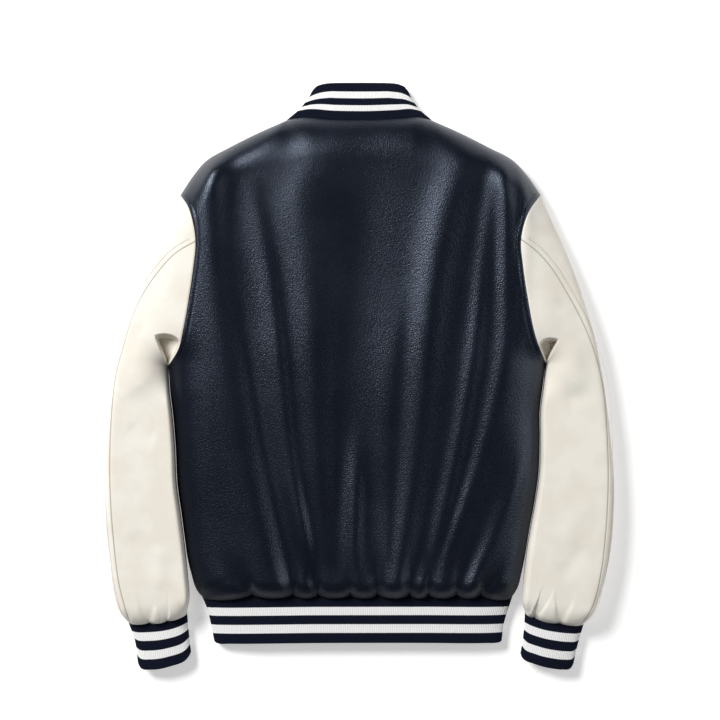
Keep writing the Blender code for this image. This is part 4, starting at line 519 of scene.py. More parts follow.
def valley(line, x, y, depth=0.0009, width=0.0011):
    # Leather dips where it is sewn
    return -depth * bell(distance(line, x, y) / width)


# Meshes

def coons(top, low, first, last, across, down, fall=1.0):
    # Plan grid between four boundary lines
    u = np.asarray(across)[None, :, None]
    v = np.asarray(down)[:, None, None]
    firstBow = first[:, None] - ((1 - v) * first[0] + v * first[-1])
    lastBow = last[:, None] - ((1 - v) * last[0] + v * last[-1])
    return (1 - v) * top[None] + v * low[None] + (1 - u)**fall * firstBow + u * lastBow


def spaced(length, step, close):
    # Fractions of a length: even steps, and closer ones at the given distances from both ends
    even = np.linspace(0.0, 1.0, max(2, round(length / step)) + 1)
    near = np.array(close) / length
    return np.unique(np.round(np.concatenate([even, near, 1.0 - near]), 7))


def gridNormals(points):
    normals = np.cross(np.gradient(points, axis=1), np.gradient(points, axis=0))
    return normals / np.linalg.norm(normals, axis=2).clip(1e-12)[..., None]


def intoWall(points, row, column, upward):
    # Grid normals, turned to point up or down at the given place
    normals = gridNormals(points)
    return normals if (normals[row, column, 2] > 0) == upward else -normals


def wallPiece(name, outer, inner, finishes, ring=False, apex=False, marks=None):
    # A closed shell between two grids of points. A ring joins its last column to its first; with
    # an apex the first row is one point. Marks are values for the finish to read, one a point.
    rows, columns = outer.shape[:2]
    count = rows * columns
    number = np.arange(count).reshape(rows, columns)
    if apex:
        number[0] = 0
    if ring:
        number = np.concatenate([number, number[:, :1]], axis=1)
    a, b, d, e = number[:-1, :-1], number[:-1, 1:], number[1:, :-1], number[1:, 1:]
    quads = np.stack([a, b, e, d], -1).reshape(-1, 4)
    strips = [(number[0, 1:], number[0, :-1]), (number[-1, :-1], number[-1, 1:])]
    if not ring:
        strips += [(number[:-1, 0], number[1:, 0]), (number[1:, -1], number[:-1, -1])]
    rim = np.concatenate([np.stack([one, other, other + count, one + count], -1) for one, other in strips])
    faces = [tuple(face) for face in np.concatenate([quads, quads[:, ::-1] + count, rim]).tolist()]
    which = [0] * len(quads) + [1] * len(quads) + [0] * len(rim)
    if apex:
        whole = [(tuple(dict.fromkeys(face)), slot) for face, slot in zip(faces, which)]
        whole = [(face, slot) for face, slot in whole if len(face) > 2]
        faces, which = [face for face, _ in whole], [slot for _, slot in whole]
    points = np.concatenate([outer.reshape(-1, 3), inner.reshape(-1, 3)])
    corners = points[[face[:3] for face in faces]]
    volume = (corners[:, 0] * np.cross(corners[:, 1], corners[:, 2])).sum()
    if volume < 0:
        faces = [face[::-1] for face in faces]
    used = np.unique(np.concatenate([np.array(face) for face in faces])) if apex else np.arange(len(points))
    place = np.zeros(len(points), int)
    place[used] = np.arange(len(used))
    if apex:
        faces = [tuple(place[list(face)].tolist()) for face in faces]
    values = {mark: np.concatenate([grid.reshape(-1)] * 2)[used] for mark, grid in (marks or {}).items()}
    return meshPiece(name, points[used], faces, finishes, which, values)


def meshPiece(name, points, faces, finishes, which=None, values=None):
    mesh = bpy.data.meshes.new(name)
    shift = (*jacket["middle"], 0.0)
    mesh.from_pydata((np.asarray(points) + shift).tolist(), [], faces)
    for finish in finishes:
        mesh.materials.append(finish)
    if which is not None:
        mesh.polygons.foreach_set("material_index", which)
    for mark, grid in (values or {}).items():
        mesh.attributes.new(mark, "FLOAT", "POINT").data.foreach_set("value", grid.astype(np.float32))
    mesh.update()
    mesh.shade_smooth()
    mesh.set_sharp_from_angle(angle=1.05)
    piece = bpy.data.objects.new(name, mesh)
    bpy.context.scene.collection.objects.link(piece)
    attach(piece, "root")
    return piece


# Finishes
# The stripe mark runs from 0 at the seam to 1 at the fold, and is white at 0.2 to 0.4 and 0.6 to 0.8
stripeLevels = (0.0, 0.2, 0.4, 0.6, 0.8, 1.0)


def bothWays(operation):
    # An operator and its reflected form
    return (lambda wire, other: wire.reckon(operation, wire, other),
            lambda wire, other: wire.reckon(operation, other, wire))


class Wire:
    # A socket that can be reckoned with: each operator adds its Math node
    def __init__(self, shader, socket):
        self.shader = shader
        self.socket = socket

    def reckon(self, operation, *values):
        return self.shader.node("Math", {"operation": operation}, dict(enumerate(values)))

    __add__, __radd__ = bothWays("ADD")
    __sub__, __rsub__ = bothWays("SUBTRACT")
    __mul__, __rmul__ = bothWays("MULTIPLY")
    __truediv__, __rtruediv__ = bothWays("DIVIDE")


class Shader:
    # A material on its Principled shader
    def __init__(self, name, settings):
        self.material = bpy.data.materials.new(name)
        self.material.use_nodes = True
        self.tree = self.material.node_tree
        self.feed(self.tree.nodes["Principled BSDF"], settings)

    def feed(self, made, sockets):
        for key, value in sockets.items():
            if isinstance(value, Wire):
                self.tree.links.new(value.socket, made.inputs[key])
            else:
                made.inputs[key].default_value = value

    def node(self, kind, settings=None, sockets=None, output=0):
        made = self.tree.nodes.new("ShaderNode" + kind)
        for key, value in (settings or {}).items():
            setattr(made, key, value)
        self.feed(made, sockets or {})
        return Wire(self, made.outputs[output])

    def surface(self, **sockets):
        shown = {key.replace("_", " "): value for key, value in sockets.items()}
        self.feed(self.tree.nodes["Principled BSDF"], shown)

    def where(self):
        return self.node("TexCoord", output=3)

    def mark(self, name):
        return self.node("Attribute", {"attribute_name": name}, output=2)

    def noise(self, place, scale, detail=2.0, roughness=0.5):
        return self.node("TexNoise", {}, {"Vector": place, "Scale": scale, "Detail": detail,
                                          "Roughness": roughness})

    def cells(self, place, scale):
        return self.node("TexVoronoi", {"feature": "F1"}, {"Vector": place, "Scale": scale})

    def span(self, value, low, high, toLow=0.0, toHigh=1.0):
        return self.node("MapRange", {"interpolation_type": "SMOOTHSTEP"},
                         {"Value": value, "From Min": low, "From Max": high,
                          "To Min": toLow, "To Max": toHigh})

    def blend(self, share, one, other):
        return self.node("Mix", {"data_type": "RGBA"}, {0: share, 6: one, 7: other}, output=2)

    def times(self, one, other):
        return self.node("Mix", {"data_type": "RGBA", "blend_type": "MULTIPLY"}, {0: 1.0, 6: one, 7: other},
                         output=2)

    def warped(self, place, scale, reach):
        # Coordinates pushed about by a noise, so that cells aren't too regular
        push = self.node("TexNoise", {}, {"Vector": place, "Scale": scale}, output=1)
        centred = self.node("VectorMath", {"operation": "SUBTRACT"}, {0: push, 1: (0.5, 0.5, 0.5)})
        return self.node("VectorMath", {"operation": "MULTIPLY_ADD"}, {0: centred, 1: (reach,) * 3, 2: place})

    def bump(self, height, strength, distance):
        return self.node("Bump", {}, {"Height": height, "Strength": strength, "Distance": distance})


def navyLeather():
    look = {"deep": (0.0020, 0.0034, 0.0105, 1.0), "worn": (0.0034, 0.0058, 0.0160, 1.0),
            "sheen": (0.66, 0.78, 1.0, 1.0), "grain": 620.0, "fineGrain": 1400.0, "relief": 0.00050,
            "creviceAndShade": (0.0004, 0.0008, 0.0030, 1.0)}
    shader = Shader("navyLeather", {"Specular IOR Level": 0.58, "Specular Tint": look["sheen"]})
    place = shader.where()
    drift = shader.warped(place, 420.0, 0.0010)
    pebble = shader.cells(drift, look["grain"])
    fine = shader.cells(drift, look["fineGrain"])
    broad = shader.noise(place, 14.0, 4.0)
    patch = shader.noise(place, 420.0, 3.0)
    relief = (1.0 - pebble) * 0.75 + (1.0 - fine) * 0.20 + patch * 0.12
    top = shader.blend(shader.span(broad, 0.3, 0.7), look["deep"], look["worn"])
    rolledMattShade = shader.mark("rolledMattShade")      # 1 where it rolls over steeply: matt there, and painted shade, as its colour is pulled to the dark crevice colour
    # The grain's low spots take the darker crevice colour; along the steep rolls the colour is pulled to it
    # as well, as painted shade
    shader.surface(Base_Color=shader.blend(shader.span(relief, 0.40, 0.85) - rolledMattShade, look["creviceAndShade"], top),
                   Roughness=shader.span(broad, 0.25, 0.75, 0.27, 0.33) + pebble * 0.04 + rolledMattShade * 0.30,
                   Normal=shader.bump(relief, 0.62, look["relief"]))
    return shader.material


def creamLeather():
    look = {"warm": (0.745, 0.700, 0.625, 1.0), "cool": (0.780, 0.755, 0.685, 1.0), "nap": 700.0,
            "relief": 0.00025, "seam": (0.330, 0.290, 0.225, 1.0)}
    shader = Shader("creamLeather", {"Specular IOR Level": 0.25, "Sheen Weight": 0.15,
                                     "Sheen Roughness": 0.5})
    place = shader.where()
    patch = shader.noise(place, 22.0, 5.0, 0.55)
    nap = shader.noise(place, look["nap"], 4.0, 0.6)
    creases = shader.noise(place, 130.0, 3.0)
    face = shader.blend(shader.span(patch, 0.38, 0.62), look["warm"], look["cool"])
    # Painted shade: along the back seam and its stitch line the cream is darkened towards a brown
    shader.surface(Base_Color=shader.blend(shader.mark("paintedSeamShade"), face, look["seam"]),
                   Roughness=shader.span(nap, 0.3, 0.7, 0.72, 0.86),
                   Normal=shader.bump(nap * 0.6 + creases, 0.35, look["relief"]))
    return shader.material


def fleshSide(name, colour):
    # The rough side of the leather, seen at the openings
    shader = Shader(name, {"Specular IOR Level": 0.2})
    place = shader.where()
    fibre = shader.noise(place, 900.0, 3.0, 0.6)
    shade = tuple(0.7 * value for value in colour[:3]) + (1.0,)
    shader.surface(Base_Color=shader.blend(fibre, shade, colour), Roughness=0.92,
                   Normal=shader.bump(fibre, 0.3, 0.0003))
    return shader.material


def ribKnit():
    # Marks: stripe runs from 0 at the seam to 1 at the fold, rib counts ribs, course is metres
    look = {"navy": (0.0030, 0.0054, 0.0160, 1.0), "white": (0.900, 0.900, 0.890, 1.0),
            "course": 0.0013, "relief": 0.00035, "grooveShade": (0.76, 0.76, 0.79, 1.0),
            "stitchGapShade": (0.82, 0.82, 0.84, 1.0), "plain": (1.0, 1.0, 1.0, 1.0),
            "ragged": 0.012, "soft": 0.004, "slant": 1.2}
    shader = Shader("ribKnit", {"Specular IOR Level": 0.12, "Sheen Weight": 0.02, "Sheen Roughness": 0.4})
    stripe = shader.mark("stripe")
    rib = shader.mark("rib")
    course = shader.mark("course")
    place = shader.where()
    fuzz = shader.noise(place, 1500.0, 3.0, 0.6)
    ragged = stripe + (fuzz - 0.5) * look["ragged"]
    lower, upper = [shader.span(ragged, start - look["soft"], start + look["soft"])
                    * (1.0 - shader.span(ragged, stop - look["soft"], stop + look["soft"]))
                    for start, stop in (stripeLevels[1:3], stripeLevels[3:5])]
    # Each stitch is a slanted lobe: two a rib, leaning towards each other
    lean = shader.node("Math", {"operation": "PINGPONG"}, {0: rib, 1: 0.5})
    turn = (course / look["course"] + lean * look["slant"]) * (2 * np.pi)
    stitch = shader.node("Math", {"operation": "SINE"}, {0: turn})
    colour = shader.blend(lower + upper, look["navy"], look["white"])
    # Painted shade: the knit is made darker between the stitches and in the grooves between the ribs
    shade = shader.blend(shader.span(stitch, -1.0, 0.4), look["stitchGapShade"], look["plain"])
    grooveShade = shader.blend(shader.span(lean, 0.28, 0.48), look["plain"], look["grooveShade"])
    tinted = shader.times(shader.times(colour, shade), grooveShade)
    shader.surface(Base_Color=tinted, Roughness=0.88 - fuzz * 0.08,
                   Normal=shader.bump(stitch * 0.5 + fuzz * 0.35, 0.45, look["relief"]))
    return shader.material


def threadFinish(name, colour):
    shader = Shader(name, {"Specular IOR Level": 0.35})
    place = shader.where()
    twist = shader.noise(place, 2400.0, 1.0)
    shade = tuple(0.75 * value for value in colour[:3]) + (1.0,)
    shader.surface(Base_Color=shader.blend(twist, shade, colour), Roughness=0.62)
    return shader.material


def enamelFinish():
    shader = Shader("navyEnamel", {"Metallic": 0.35, "Coat Weight": 0.6, "Coat Roughness": 0.12})
    place = shader.where()
    fleck = shader.noise(place, 1800.0, 2.0)
    shader.surface(Base_Color=shader.blend(fleck, (0.010, 0.014, 0.028, 1.0), (0.016, 0.022, 0.040, 1.0)),
                   Roughness=shader.span(fleck, 0.3, 0.7, 0.26, 0.36))
    return shader.material


navy = navyLeather()
navyInside = fleshSide("navyFlesh", (0.0120, 0.0150, 0.0240, 1.0))
cream = creamLeather()
creamInside = fleshSide("creamFlesh", (0.560, 0.510, 0.430, 1.0))
knit = ribKnit()
navyThread = threadFinish("navyThread", (0.020, 0.026, 0.046, 1.0))
creamThread = threadFinish("creamThread", (0.640, 0.590, 0.500, 1.0))
enamel = enamelFinish()
print("finishes made")

# Back
back = {
    "columnStep": 0.00215,
    "sideClose": (0.0002, 0.0006, 0.0012, 0.0030, 0.0050, 0.0064, 0.0078),
    "headRows": 76,
    "lowerRows": 118,
    "hemClose": (0.0002, 0.0006, 0.0012, 0.0020, 0.0030),
    "pitRow": 0.420,            # along the side, where the armhole ends
    "headRun": 0.26,            # lengths that the close rows above and below that are shares of
    "lowerRun": 0.36,
    "evenRows": 0.62,           # share of the lower rows that is even; the others draw closer to the hem
    "neckGathers": (1, 6),      # the columns that lead up to the neck corners start at these gathers
    "cut": (0.500, 0.650),
    "rolledHem": 0.0065,        # how far the leather is matt and darkened with painted shade where it rolls over
    "rolledSide": 0.0080,
}


def downRows(pitRow, headCount, lowerCount, close):
    # Rows of a body panel: even along the armhole, then closer and closer to the hem
    s = np.linspace(0.0, 1.0, lowerCount + 1)
    lower = back["evenRows"] * s + (1.0 - back["evenRows"]) * (1.0 - (1.0 - s)**2)
    lower = np.unique(np.concatenate([lower, 1.0 - np.array(close) / back["lowerRun"]]))
    even = np.linspace(0.0, 1.0, headCount + 1)
    head = np.unique(np.concatenate([even, np.array(close) / back["headRun"]]))
    return np.concatenate([pitRow * head, pitRow + (1.0 - pitRow) * lower[1:]])


def bodySide(side, rows, pitRow):
    # A body panel's side line at the given rows: the armhole, then the side seam
    head = rows[rows <= pitRow + 1e-9]
    lower = rows[rows > pitRow + 1e-9]
    return np.concatenate([along(lines[side]["armhole"], head / pitRow),
                           along(lines[side]["side"], (lower - pitRow) / (1.0 - pitRow))])


def makeBack():
    ends = -sides["left"]["side"][-1][0], sides["right"]["side"][-1][0]
    stops = [ends[0]] + [gather["x"] for gather in hemGathers] + [ends[1]]
    hemX = [np.linspace(one, other, round((other - one) / back["columnStep"]) + 1)
            for one, other in zip(stops[:-1], stops[1:])]
    close = np.array(back["sideClose"])
    hemX = np.unique(np.round(np.concatenate(hemX + [ends[0] + close, ends[1] - close]), 6))
    across = (hemX - hemX[0]) / (hemX[-1] - hemX[0])
    rows = downRows(back["pitRow"], back["headRows"], back["lowerRows"], back["hemClose"])
    neckFrom, neckTo = [(hemGathers[i]["x"] - ends[0]) / (ends[1] - ends[0]) for i in back["neckGathers"]]
    onLeft, onRight = across < neckFrom - 1e-6, across > neckTo + 1e-6
    onNeck = ~(onLeft | onRight)
    top = np.concatenate([along(lines["left"]["shoulder"][::-1], across[onLeft] / neckFrom),
                          along(neck, (across[onNeck] - neckFrom) / (neckTo - neckFrom)),
                          along(lines["right"]["shoulder"], (across[onRight] - neckTo) / (1.0 - neckTo))])
    low = np.column_stack([hemX, hemSeamLevel(hemX)])
    left, right = bodySide("left", rows, back["pitRow"]), bodySide("right", rows, back["pitRow"])
    plan = coons(top, low, left, right, across, rows)
    x, y = plan[..., 0], plan[..., 1]
    z = bodyHeight(x, y)
    for side in sides:
        z += valley(lines[side]["armhole"], x, y) + valley(lines[side]["armholeStitch"], x, y, 0.0005, 0.0012)
    below = rows > back["pitRow"] + 1e-9
    z[below, 0] = bodyEdge(x, y)[below, 0]
    z[below, -1] = bodyEdge(x, y)[below, -1]
    z[0, ~onNeck] = jacket["edge"]
    outer = np.dstack([x, y, z])
    inner = outer + jacket["leather"] * intoWall(outer, len(rows) // 2, len(across) // 2, False)
    # Where the leather rolls over at the hem seam and down the sides it is made matt, and its colour is
    # darkened as painted shade
    rolledMattShade = bell((y - hemSeamLevel(x)) / back["rolledHem"])
    for side, here in lines.items():
        rolledMattShade += bell(distance(here["side"], x, y) / back["rolledSide"])
    piece = wallPiece("back_panel", outer, inner, [navy, navyInside], marks={"rolledMattShade": rolledMattShade.clip(0.0, 1.0)})
    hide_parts("back")


makeBack()
print("back made")

# Fronts
fronts = {
    "lowerRows": 60,
    "headRows": 40,
    "rowClose": (0.0003, 0.0009, 0.0020, 0.0040),
    "close": (0.0002, 0.0007, 0.0015, 0.0026, 0.0042, 0.0064, 0.0095, 0.0130),
    "neckLine": [(0.0830, 0.2960), (0.0560, 0.2680), (0.0200, 0.2560), (-0.0140, 0.2550)],
    "hemLevel": -0.2875,
    "cut": (0.260, 0.620),
}


def channelLift(x):
    # The surface takes the snap caps, so the cloth over them lies this much higher
    return jacket["channel"] * eased((jacket["channelHalf"] + jacket["channelRamp"] - np.abs(x))
                                     / jacket["channelRamp"])


def innerEndLift(x, wall):
    # The inner layer of the closing lies on the outer one
    lift = jacket["channel"] + wall + jacket["seamGap"]
    return lift * eased((jacket["innerEndFrom"] - x) / jacket["innerEndRamp"])


def makeFront(side):
    sign = sides[side]["sign"]
    rows = downRows(back["pitRow"], fronts["headRows"], fronts["lowerRows"], fronts["rowClose"])
    corner, neckOut = sides[side]["side"][-1][0], sides[side]["shoulder"][0][0]
    sideOuts = corner - np.array((0.0,) + fronts["close"])
    outs = np.concatenate([sideOuts, np.linspace(sideOuts[-1] - 0.004, neckOut, 20)])
    neckOuts = np.linspace(neckOut, -jacket["placket"], 27)
    outs = np.concatenate([outs[:-1], neckOuts])
    shoulderCount = len(outs) - len(neckOuts)
    across = (outs[0] - outs) / (outs[0] - outs[-1])
    neckEdge = smoothCurve([sides[side]["shoulder"][0]] + fronts["neckLine"])
    up = np.interp(-neckOuts, -neckEdge[:, 0], neckEdge[:, 1])
    shoulder = lines[side]["shoulder"][::-1]
    shares = (outs[0] - outs[:shoulderCount]) / (outs[0] - neckOut)
    top = np.concatenate([along(shoulder, shares), np.column_stack([sign * neckOuts, up])])
    low = np.column_stack([sign * outs, np.full(len(outs), fronts["hemLevel"])])
    edge = bodySide(side, rows, back["pitRow"])
    centre = top[-1] + (low[-1] - top[-1]) * rows[:, None]
    plan = coons(top, low, edge, centre, across, rows, fall=3.0)
    x, y = plan[..., 0], plan[..., 1]
    lift = channelLift(x) if side == "left" else innerEndLift(x, jacket["leather"])
    z = bodyUnder(x, y) + lift
    z[0, :shoulderCount + 1] = jacket["edge"]
    z[:, 0] = np.where(rows > back["pitRow"], bodyEdge(x, y)[:, 0], z[:, 0])
    outer = np.dstack([x, y, z])
    inner = outer + jacket["leather"] * intoWall(outer, len(rows) // 2, len(outs) // 2, True)
    piece = wallPiece("front_panel_" + side, outer, inner, [navy, navyInside])
    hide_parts("front_" + side)


for sideName in sides:
    makeFront(sideName)
print("fronts made")

# Sleeve pieces
sleevePieces = {
    "rowStep": 0.0034,
    "underStep": 0.0023,
    "fineFrom": (0.52, 0.985),  # share of the panel, on the body's side, that has closer columns
    "stripStep": 0.0026,
    "belowStep": 0.0050,
    "close": (0.0002, 0.0007, 0.0014, 0.0024),
    "riseSteps": (0.25, 0.6, 1.0),
    "underWidth": 0.075,        # widths that the columns' steps are shares of
    "stripWidth": 0.040,
    "belowWidth": 0.090,
    "underClose": (0.0045, 0.0066, 0.0088, 0.0110),     # closer columns, further in from the seams
    "belowClose": (0.0042, 0.0070, 0.0110),
    "cuffClose": (0.0045, 0.0062, 0.0082),
    "fineColumns": 36,
    "tuckRun": 0.105,           # share of the outer edge beside the tuck
    "tuckRows": 48,
    "underCut": (0.130, 0.560),
    "topCut": (0.200, 0.610),
}


def sleeveRows(side):
    # Rows as fractions of the outer edge; closer at the tuck, at the seams and at the cuff
    total = lengthOf(lines[side]["outer"])
    seam, pit = sleeves["backSeamRow"], sleeves["armpitRow"]
    head = seam * spaced(seam * total, sleevePieces["rowStep"], sleevePieces["close"])
    arm = seam + (pit - seam) * spaced((pit - seam) * total, sleevePieces["rowStep"], sleevePieces["close"])
    tuck = np.linspace(pit - sleevePieces["tuckRun"], pit, sleevePieces["tuckRows"])
    low = pit + (1 - pit) * spaced((1 - pit) * total, sleevePieces["rowStep"],
                                   sleevePieces["close"] + sleevePieces["cuffClose"])
    return np.unique(np.round(np.concatenate([head, arm, tuck, low]), 6))


def seamShare(line, point):
    places = np.linspace(0.0, 1.0, 801)
    return places[np.linalg.norm(along(line, places) - point, axis=1).argmin()]


def innerSeam(side, shares):
    # The inner seam of a sleeve, a little inside the inner edge
    edge = along(lines[side]["inner"], shares)
    outer = along(lines[side]["outer"], sleeves["armpitRow"] + (1 - sleeves["armpitRow"]) * shares)
    run = np.gradient(edge, axis=0)
    square = np.column_stack([-run[:, 1], run[:, 0]]) / np.linalg.norm(run, axis=1)[:, None]
    square *= np.sign((square * (outer - edge)).sum(axis=1))[:, None]
    inset = np.interp(shares, *zip(*sleeves[side]["inset"]))
    return edge + square * inset[:, None]


def makeSleeve(side):
    here = lines[side]
    seam, pit = sleeves["backSeamRow"], sleeves["armpitRow"]
    rows = sleeveRows(side)
    joint = seamShare(here["armhole"], here["backSeam"][0])
    foot = seamShare(here["cuffLine"], here["backSeam"][-1])
    inset = sleeves[side]["inset"][-1][1] / lengthOf(here["cuffLine"])
    headStop = np.interp(rows[rows <= pit], [0.0, seam, pit], [0.0, joint, 1.0])
    isHead, isLow = rows <= pit, rows > pit
    seamRows, innerShares = rows[rows >= seam - 1e-9], (rows[isLow] - pit) / (1 - pit)

    def height(x, y):
        dip = (valley(here["armhole"], x, y) + valley(here["backSeam"], x, y, 0.0009, 0.0006)
               + valley(here["sleeveStitch"], x, y, 0.0004, 0.0008))
        return sleeveHeight(side, x, y) + dip

    def paintedSeamShade(points):
        # Painted shade along the back seam and its stitches, 0 to 1: how far the cream is darkened there
        x, y = points[..., 0], points[..., 1]
        return 0.75 * bell(distance(here["backSeam"], x, y) / 0.0007) + 0.22 * bell(
            distance(here["sleeveStitch"], x, y) / 0.0008)

    # The panel that shows, from the back seam to the inner seam
    inner = np.concatenate([along(here["armhole"], headStop[rows[isHead] >= seam - 1e-9]),
                            innerSeam(side, innerShares)])
    backLine = along(here["backSeam"], (seamRows - seam) / (1 - seam))
    across = spaced(sleevePieces["underWidth"], sleevePieces["underStep"],
                    sleevePieces["close"] + sleevePieces["underClose"])
    fine = np.linspace(*sleevePieces["fineFrom"], sleevePieces["fineColumns"])
    across = np.unique(np.concatenate([across, fine]))
    low = along(here["cuffLine"], foot + (1.0 - inset - foot) * across)
    backLine[0] = inner[0]
    backLine[-1], inner[-1] = low[0], low[-1]
    plan = coons(np.repeat(inner[:1], len(across), axis=0), low, backLine, inner, across,
                 (seamRows - seam) / (1 - seam))
    outer = np.dstack([plan, height(plan[..., 0], plan[..., 1])])
    into = intoWall(outer, len(outer) // 2, len(across) // 2, False)
    into[0] = into[1].mean(axis=0)
    piece = wallPiece("under_sleeve_" + side, outer, outer + jacket["leather"] * into,
                      [cream, creamInside], apex=True, marks={"paintedSeamShade": paintedSeamShade(outer)})
    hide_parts("sleeve_under_" + side)

    # The top sleeve: outer strip, over the outer edge, the underside, up to the inner seam
    spine = along(here["outer"], rows)
    stripSteps = spaced(sleevePieces["stripWidth"], sleevePieces["stripStep"], sleevePieces["close"])
    belowSteps = spaced(sleevePieces["belowWidth"], sleevePieces["belowStep"],
                        sleevePieces["close"] + sleevePieces["belowClose"])
    rise = np.array(sleevePieces["riseSteps"])
    stripLow = along(here["cuffLine"], foot * stripSteps)
    stripSide = np.concatenate([along(here["armhole"], headStop[rows[isHead] < seam - 1e-9]), backLine])
    strip = coons(np.repeat(spine[:1], len(stripSteps), axis=0), stripLow, spine, stripSide, stripSteps, rows)
    underSide = np.concatenate([along(here["armhole"], rows[isHead] / pit),
                                along(here["inner"], innerShares)])
    headSteps = np.interp(np.linspace(0.0, 1.0, len(belowSteps) + len(rise)),
                          np.linspace(0.0, 1.0, len(belowSteps)), belowSteps)
    grids = [coons(np.repeat(spine[:1], len(steps), axis=0), along(here["cuffLine"], steps), spine, underSide,
                   steps, rows) for steps in (headSteps, belowSteps)]
    seamLine = np.concatenate([underSide[isHead], inner[len(inner) - isLow.sum():]])
    climb = grids[1][:, -1:] + (seamLine - grids[1][:, -1])[:, None] * rise[None, :, None]
    under = np.where(isHead[:, None, None], grids[0], np.concatenate([grids[1], climb], axis=1))
    plan = np.concatenate([strip[:, ::-1], under[:, 1:]], axis=1)
    x, y = plan[..., 0], plan[..., 1]
    spineAt = len(stripSteps) - 1
    climbAt = plan.shape[1] - len(rise)
    z = sleeveUnder(side, x, y)
    z[:, :spineAt] = height(x[:, :spineAt], y[:, :spineAt])
    z[isLow, climbAt:] = height(x, y)[isLow, climbAt:]
    edges = sleeveEdge(side, x, y)
    z[:, spineAt] = edges[:, spineAt]
    z[isLow, climbAt - 1] = edges[isLow, climbAt - 1]
    outer = np.dstack([x, y, z])
    into = intoWall(outer, len(rows) // 2, spineAt + len(belowSteps) // 2, True)
    into[0] = into[1].mean(axis=0)
    piece = wallPiece("top_sleeve_" + side, outer, outer + jacket["leather"] * into,
                      [cream, creamInside], apex=True, marks={"paintedSeamShade": paintedSeamShade(outer)})
    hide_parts("sleeve_top_" + side)


for sideName in sides:
    makeSleeve(sideName)
print("sleeves made")

# Ribs
ribs = {
    "pitch": 0.0025,
    "relief": 0.00060,
    "perRib": 5,
    "perHiddenRib": 3,
    "foldClose": (1.0, 0.62, 0.34, 0.14, 0.03, 0.0),   # rows at the fold, in half walls from it
}


def ribColumns(profile, perRib, ribCount=None):
    # Even steps along a section, perRib to a rib; also how many ribs there are
    travel = np.concatenate([[0.0], np.cumsum(np.linalg.norm(np.diff(profile[:, 1:], axis=0), axis=1))])
    count = ribCount or round(travel[-1] / ribs["pitch"])
    even = np.linspace(0.0, 1.0, count * perRib + 1)
    return np.interp(even, travel / travel[-1], profile[:, 0]), np.linspace(0.0, count, len(even))


def ribRows(length, step):
    # Rows from the seam to the fold, closer where the knit turns over
    turn = jacket["rib"] / 2 / length
    even = np.linspace(0.0, 1.0 - turn, round(length / step) + 1)[:-1]
    return np.concatenate([even, 1.0 - turn * np.array(ribs["foldClose"])])


def turnedOver(outer, inner, rows, length):
    # Both faces of the doubled knit close in on each other at the fold
    reach = ((1.0 - rows) * length / (jacket["rib"] / 2)).clip(0.0, 1.0)
    share = np.sqrt(1.0 - (1.0 - reach)**2)[:, None, None]
    middle = (outer + inner) / 2
    return middle + (outer - middle) * share, middle + (inner - middle) * share


def ribbed(outer, normals, count):
    # The face that shows rises into ribs
    wave = 0.5 + 0.5 * np.cos(2 * np.pi * count)
    return outer - normals * (ribs["relief"] * wave[None, :, None])


def knitShell(outer, normals, rows, length, count):
    # The doubled knit: ribs on the face that shows, plain inside, closed at the fold
    inner = outer + jacket["rib"] * normals
    outer, inner = turnedOver(ribbed(outer, normals, count), inner, rows, length)
    outer[..., 2] = outer[..., 2].clip(0.0)
    return outer, inner


def wrappedRound(halves, counts, upper, countUp):
    # The part that shows with both hidden ends beside it, and the ribs counted across all
    outer = np.concatenate([halves["left"][:, ::-1], upper, halves["right"]], axis=1)
    count = np.concatenate([-counts["left"][1:][::-1], countUp, countUp[-1] + counts["right"][1:]])
    return outer, count


def stripesAt(rows, bands):
    return np.interp(rows, (0.0,) + bands + (1.0,), stripeLevels)


def knitMarks(stripe, count, course):
    grid = (len(stripe), len(count))
    return {"stripe": np.broadcast_to(stripe, grid), "rib": np.broadcast_to(count, grid),
            "course": np.broadcast_to(course, grid)}


def section(height, count=400):
    # A piece's cross section: fraction across, then its place and height
    across = np.linspace(0.0, 1.0, count)
    return np.column_stack([across, *height(across)])


# Cuffs
cuffs = {
    "rowStep": 0.0030,
    "tuckedIn": 0.003,
    "bands": (0.21, 0.39, 0.60, 0.775),      # edges of the stripes, from the seam down
    "cut": (0.150, 0.120),
}


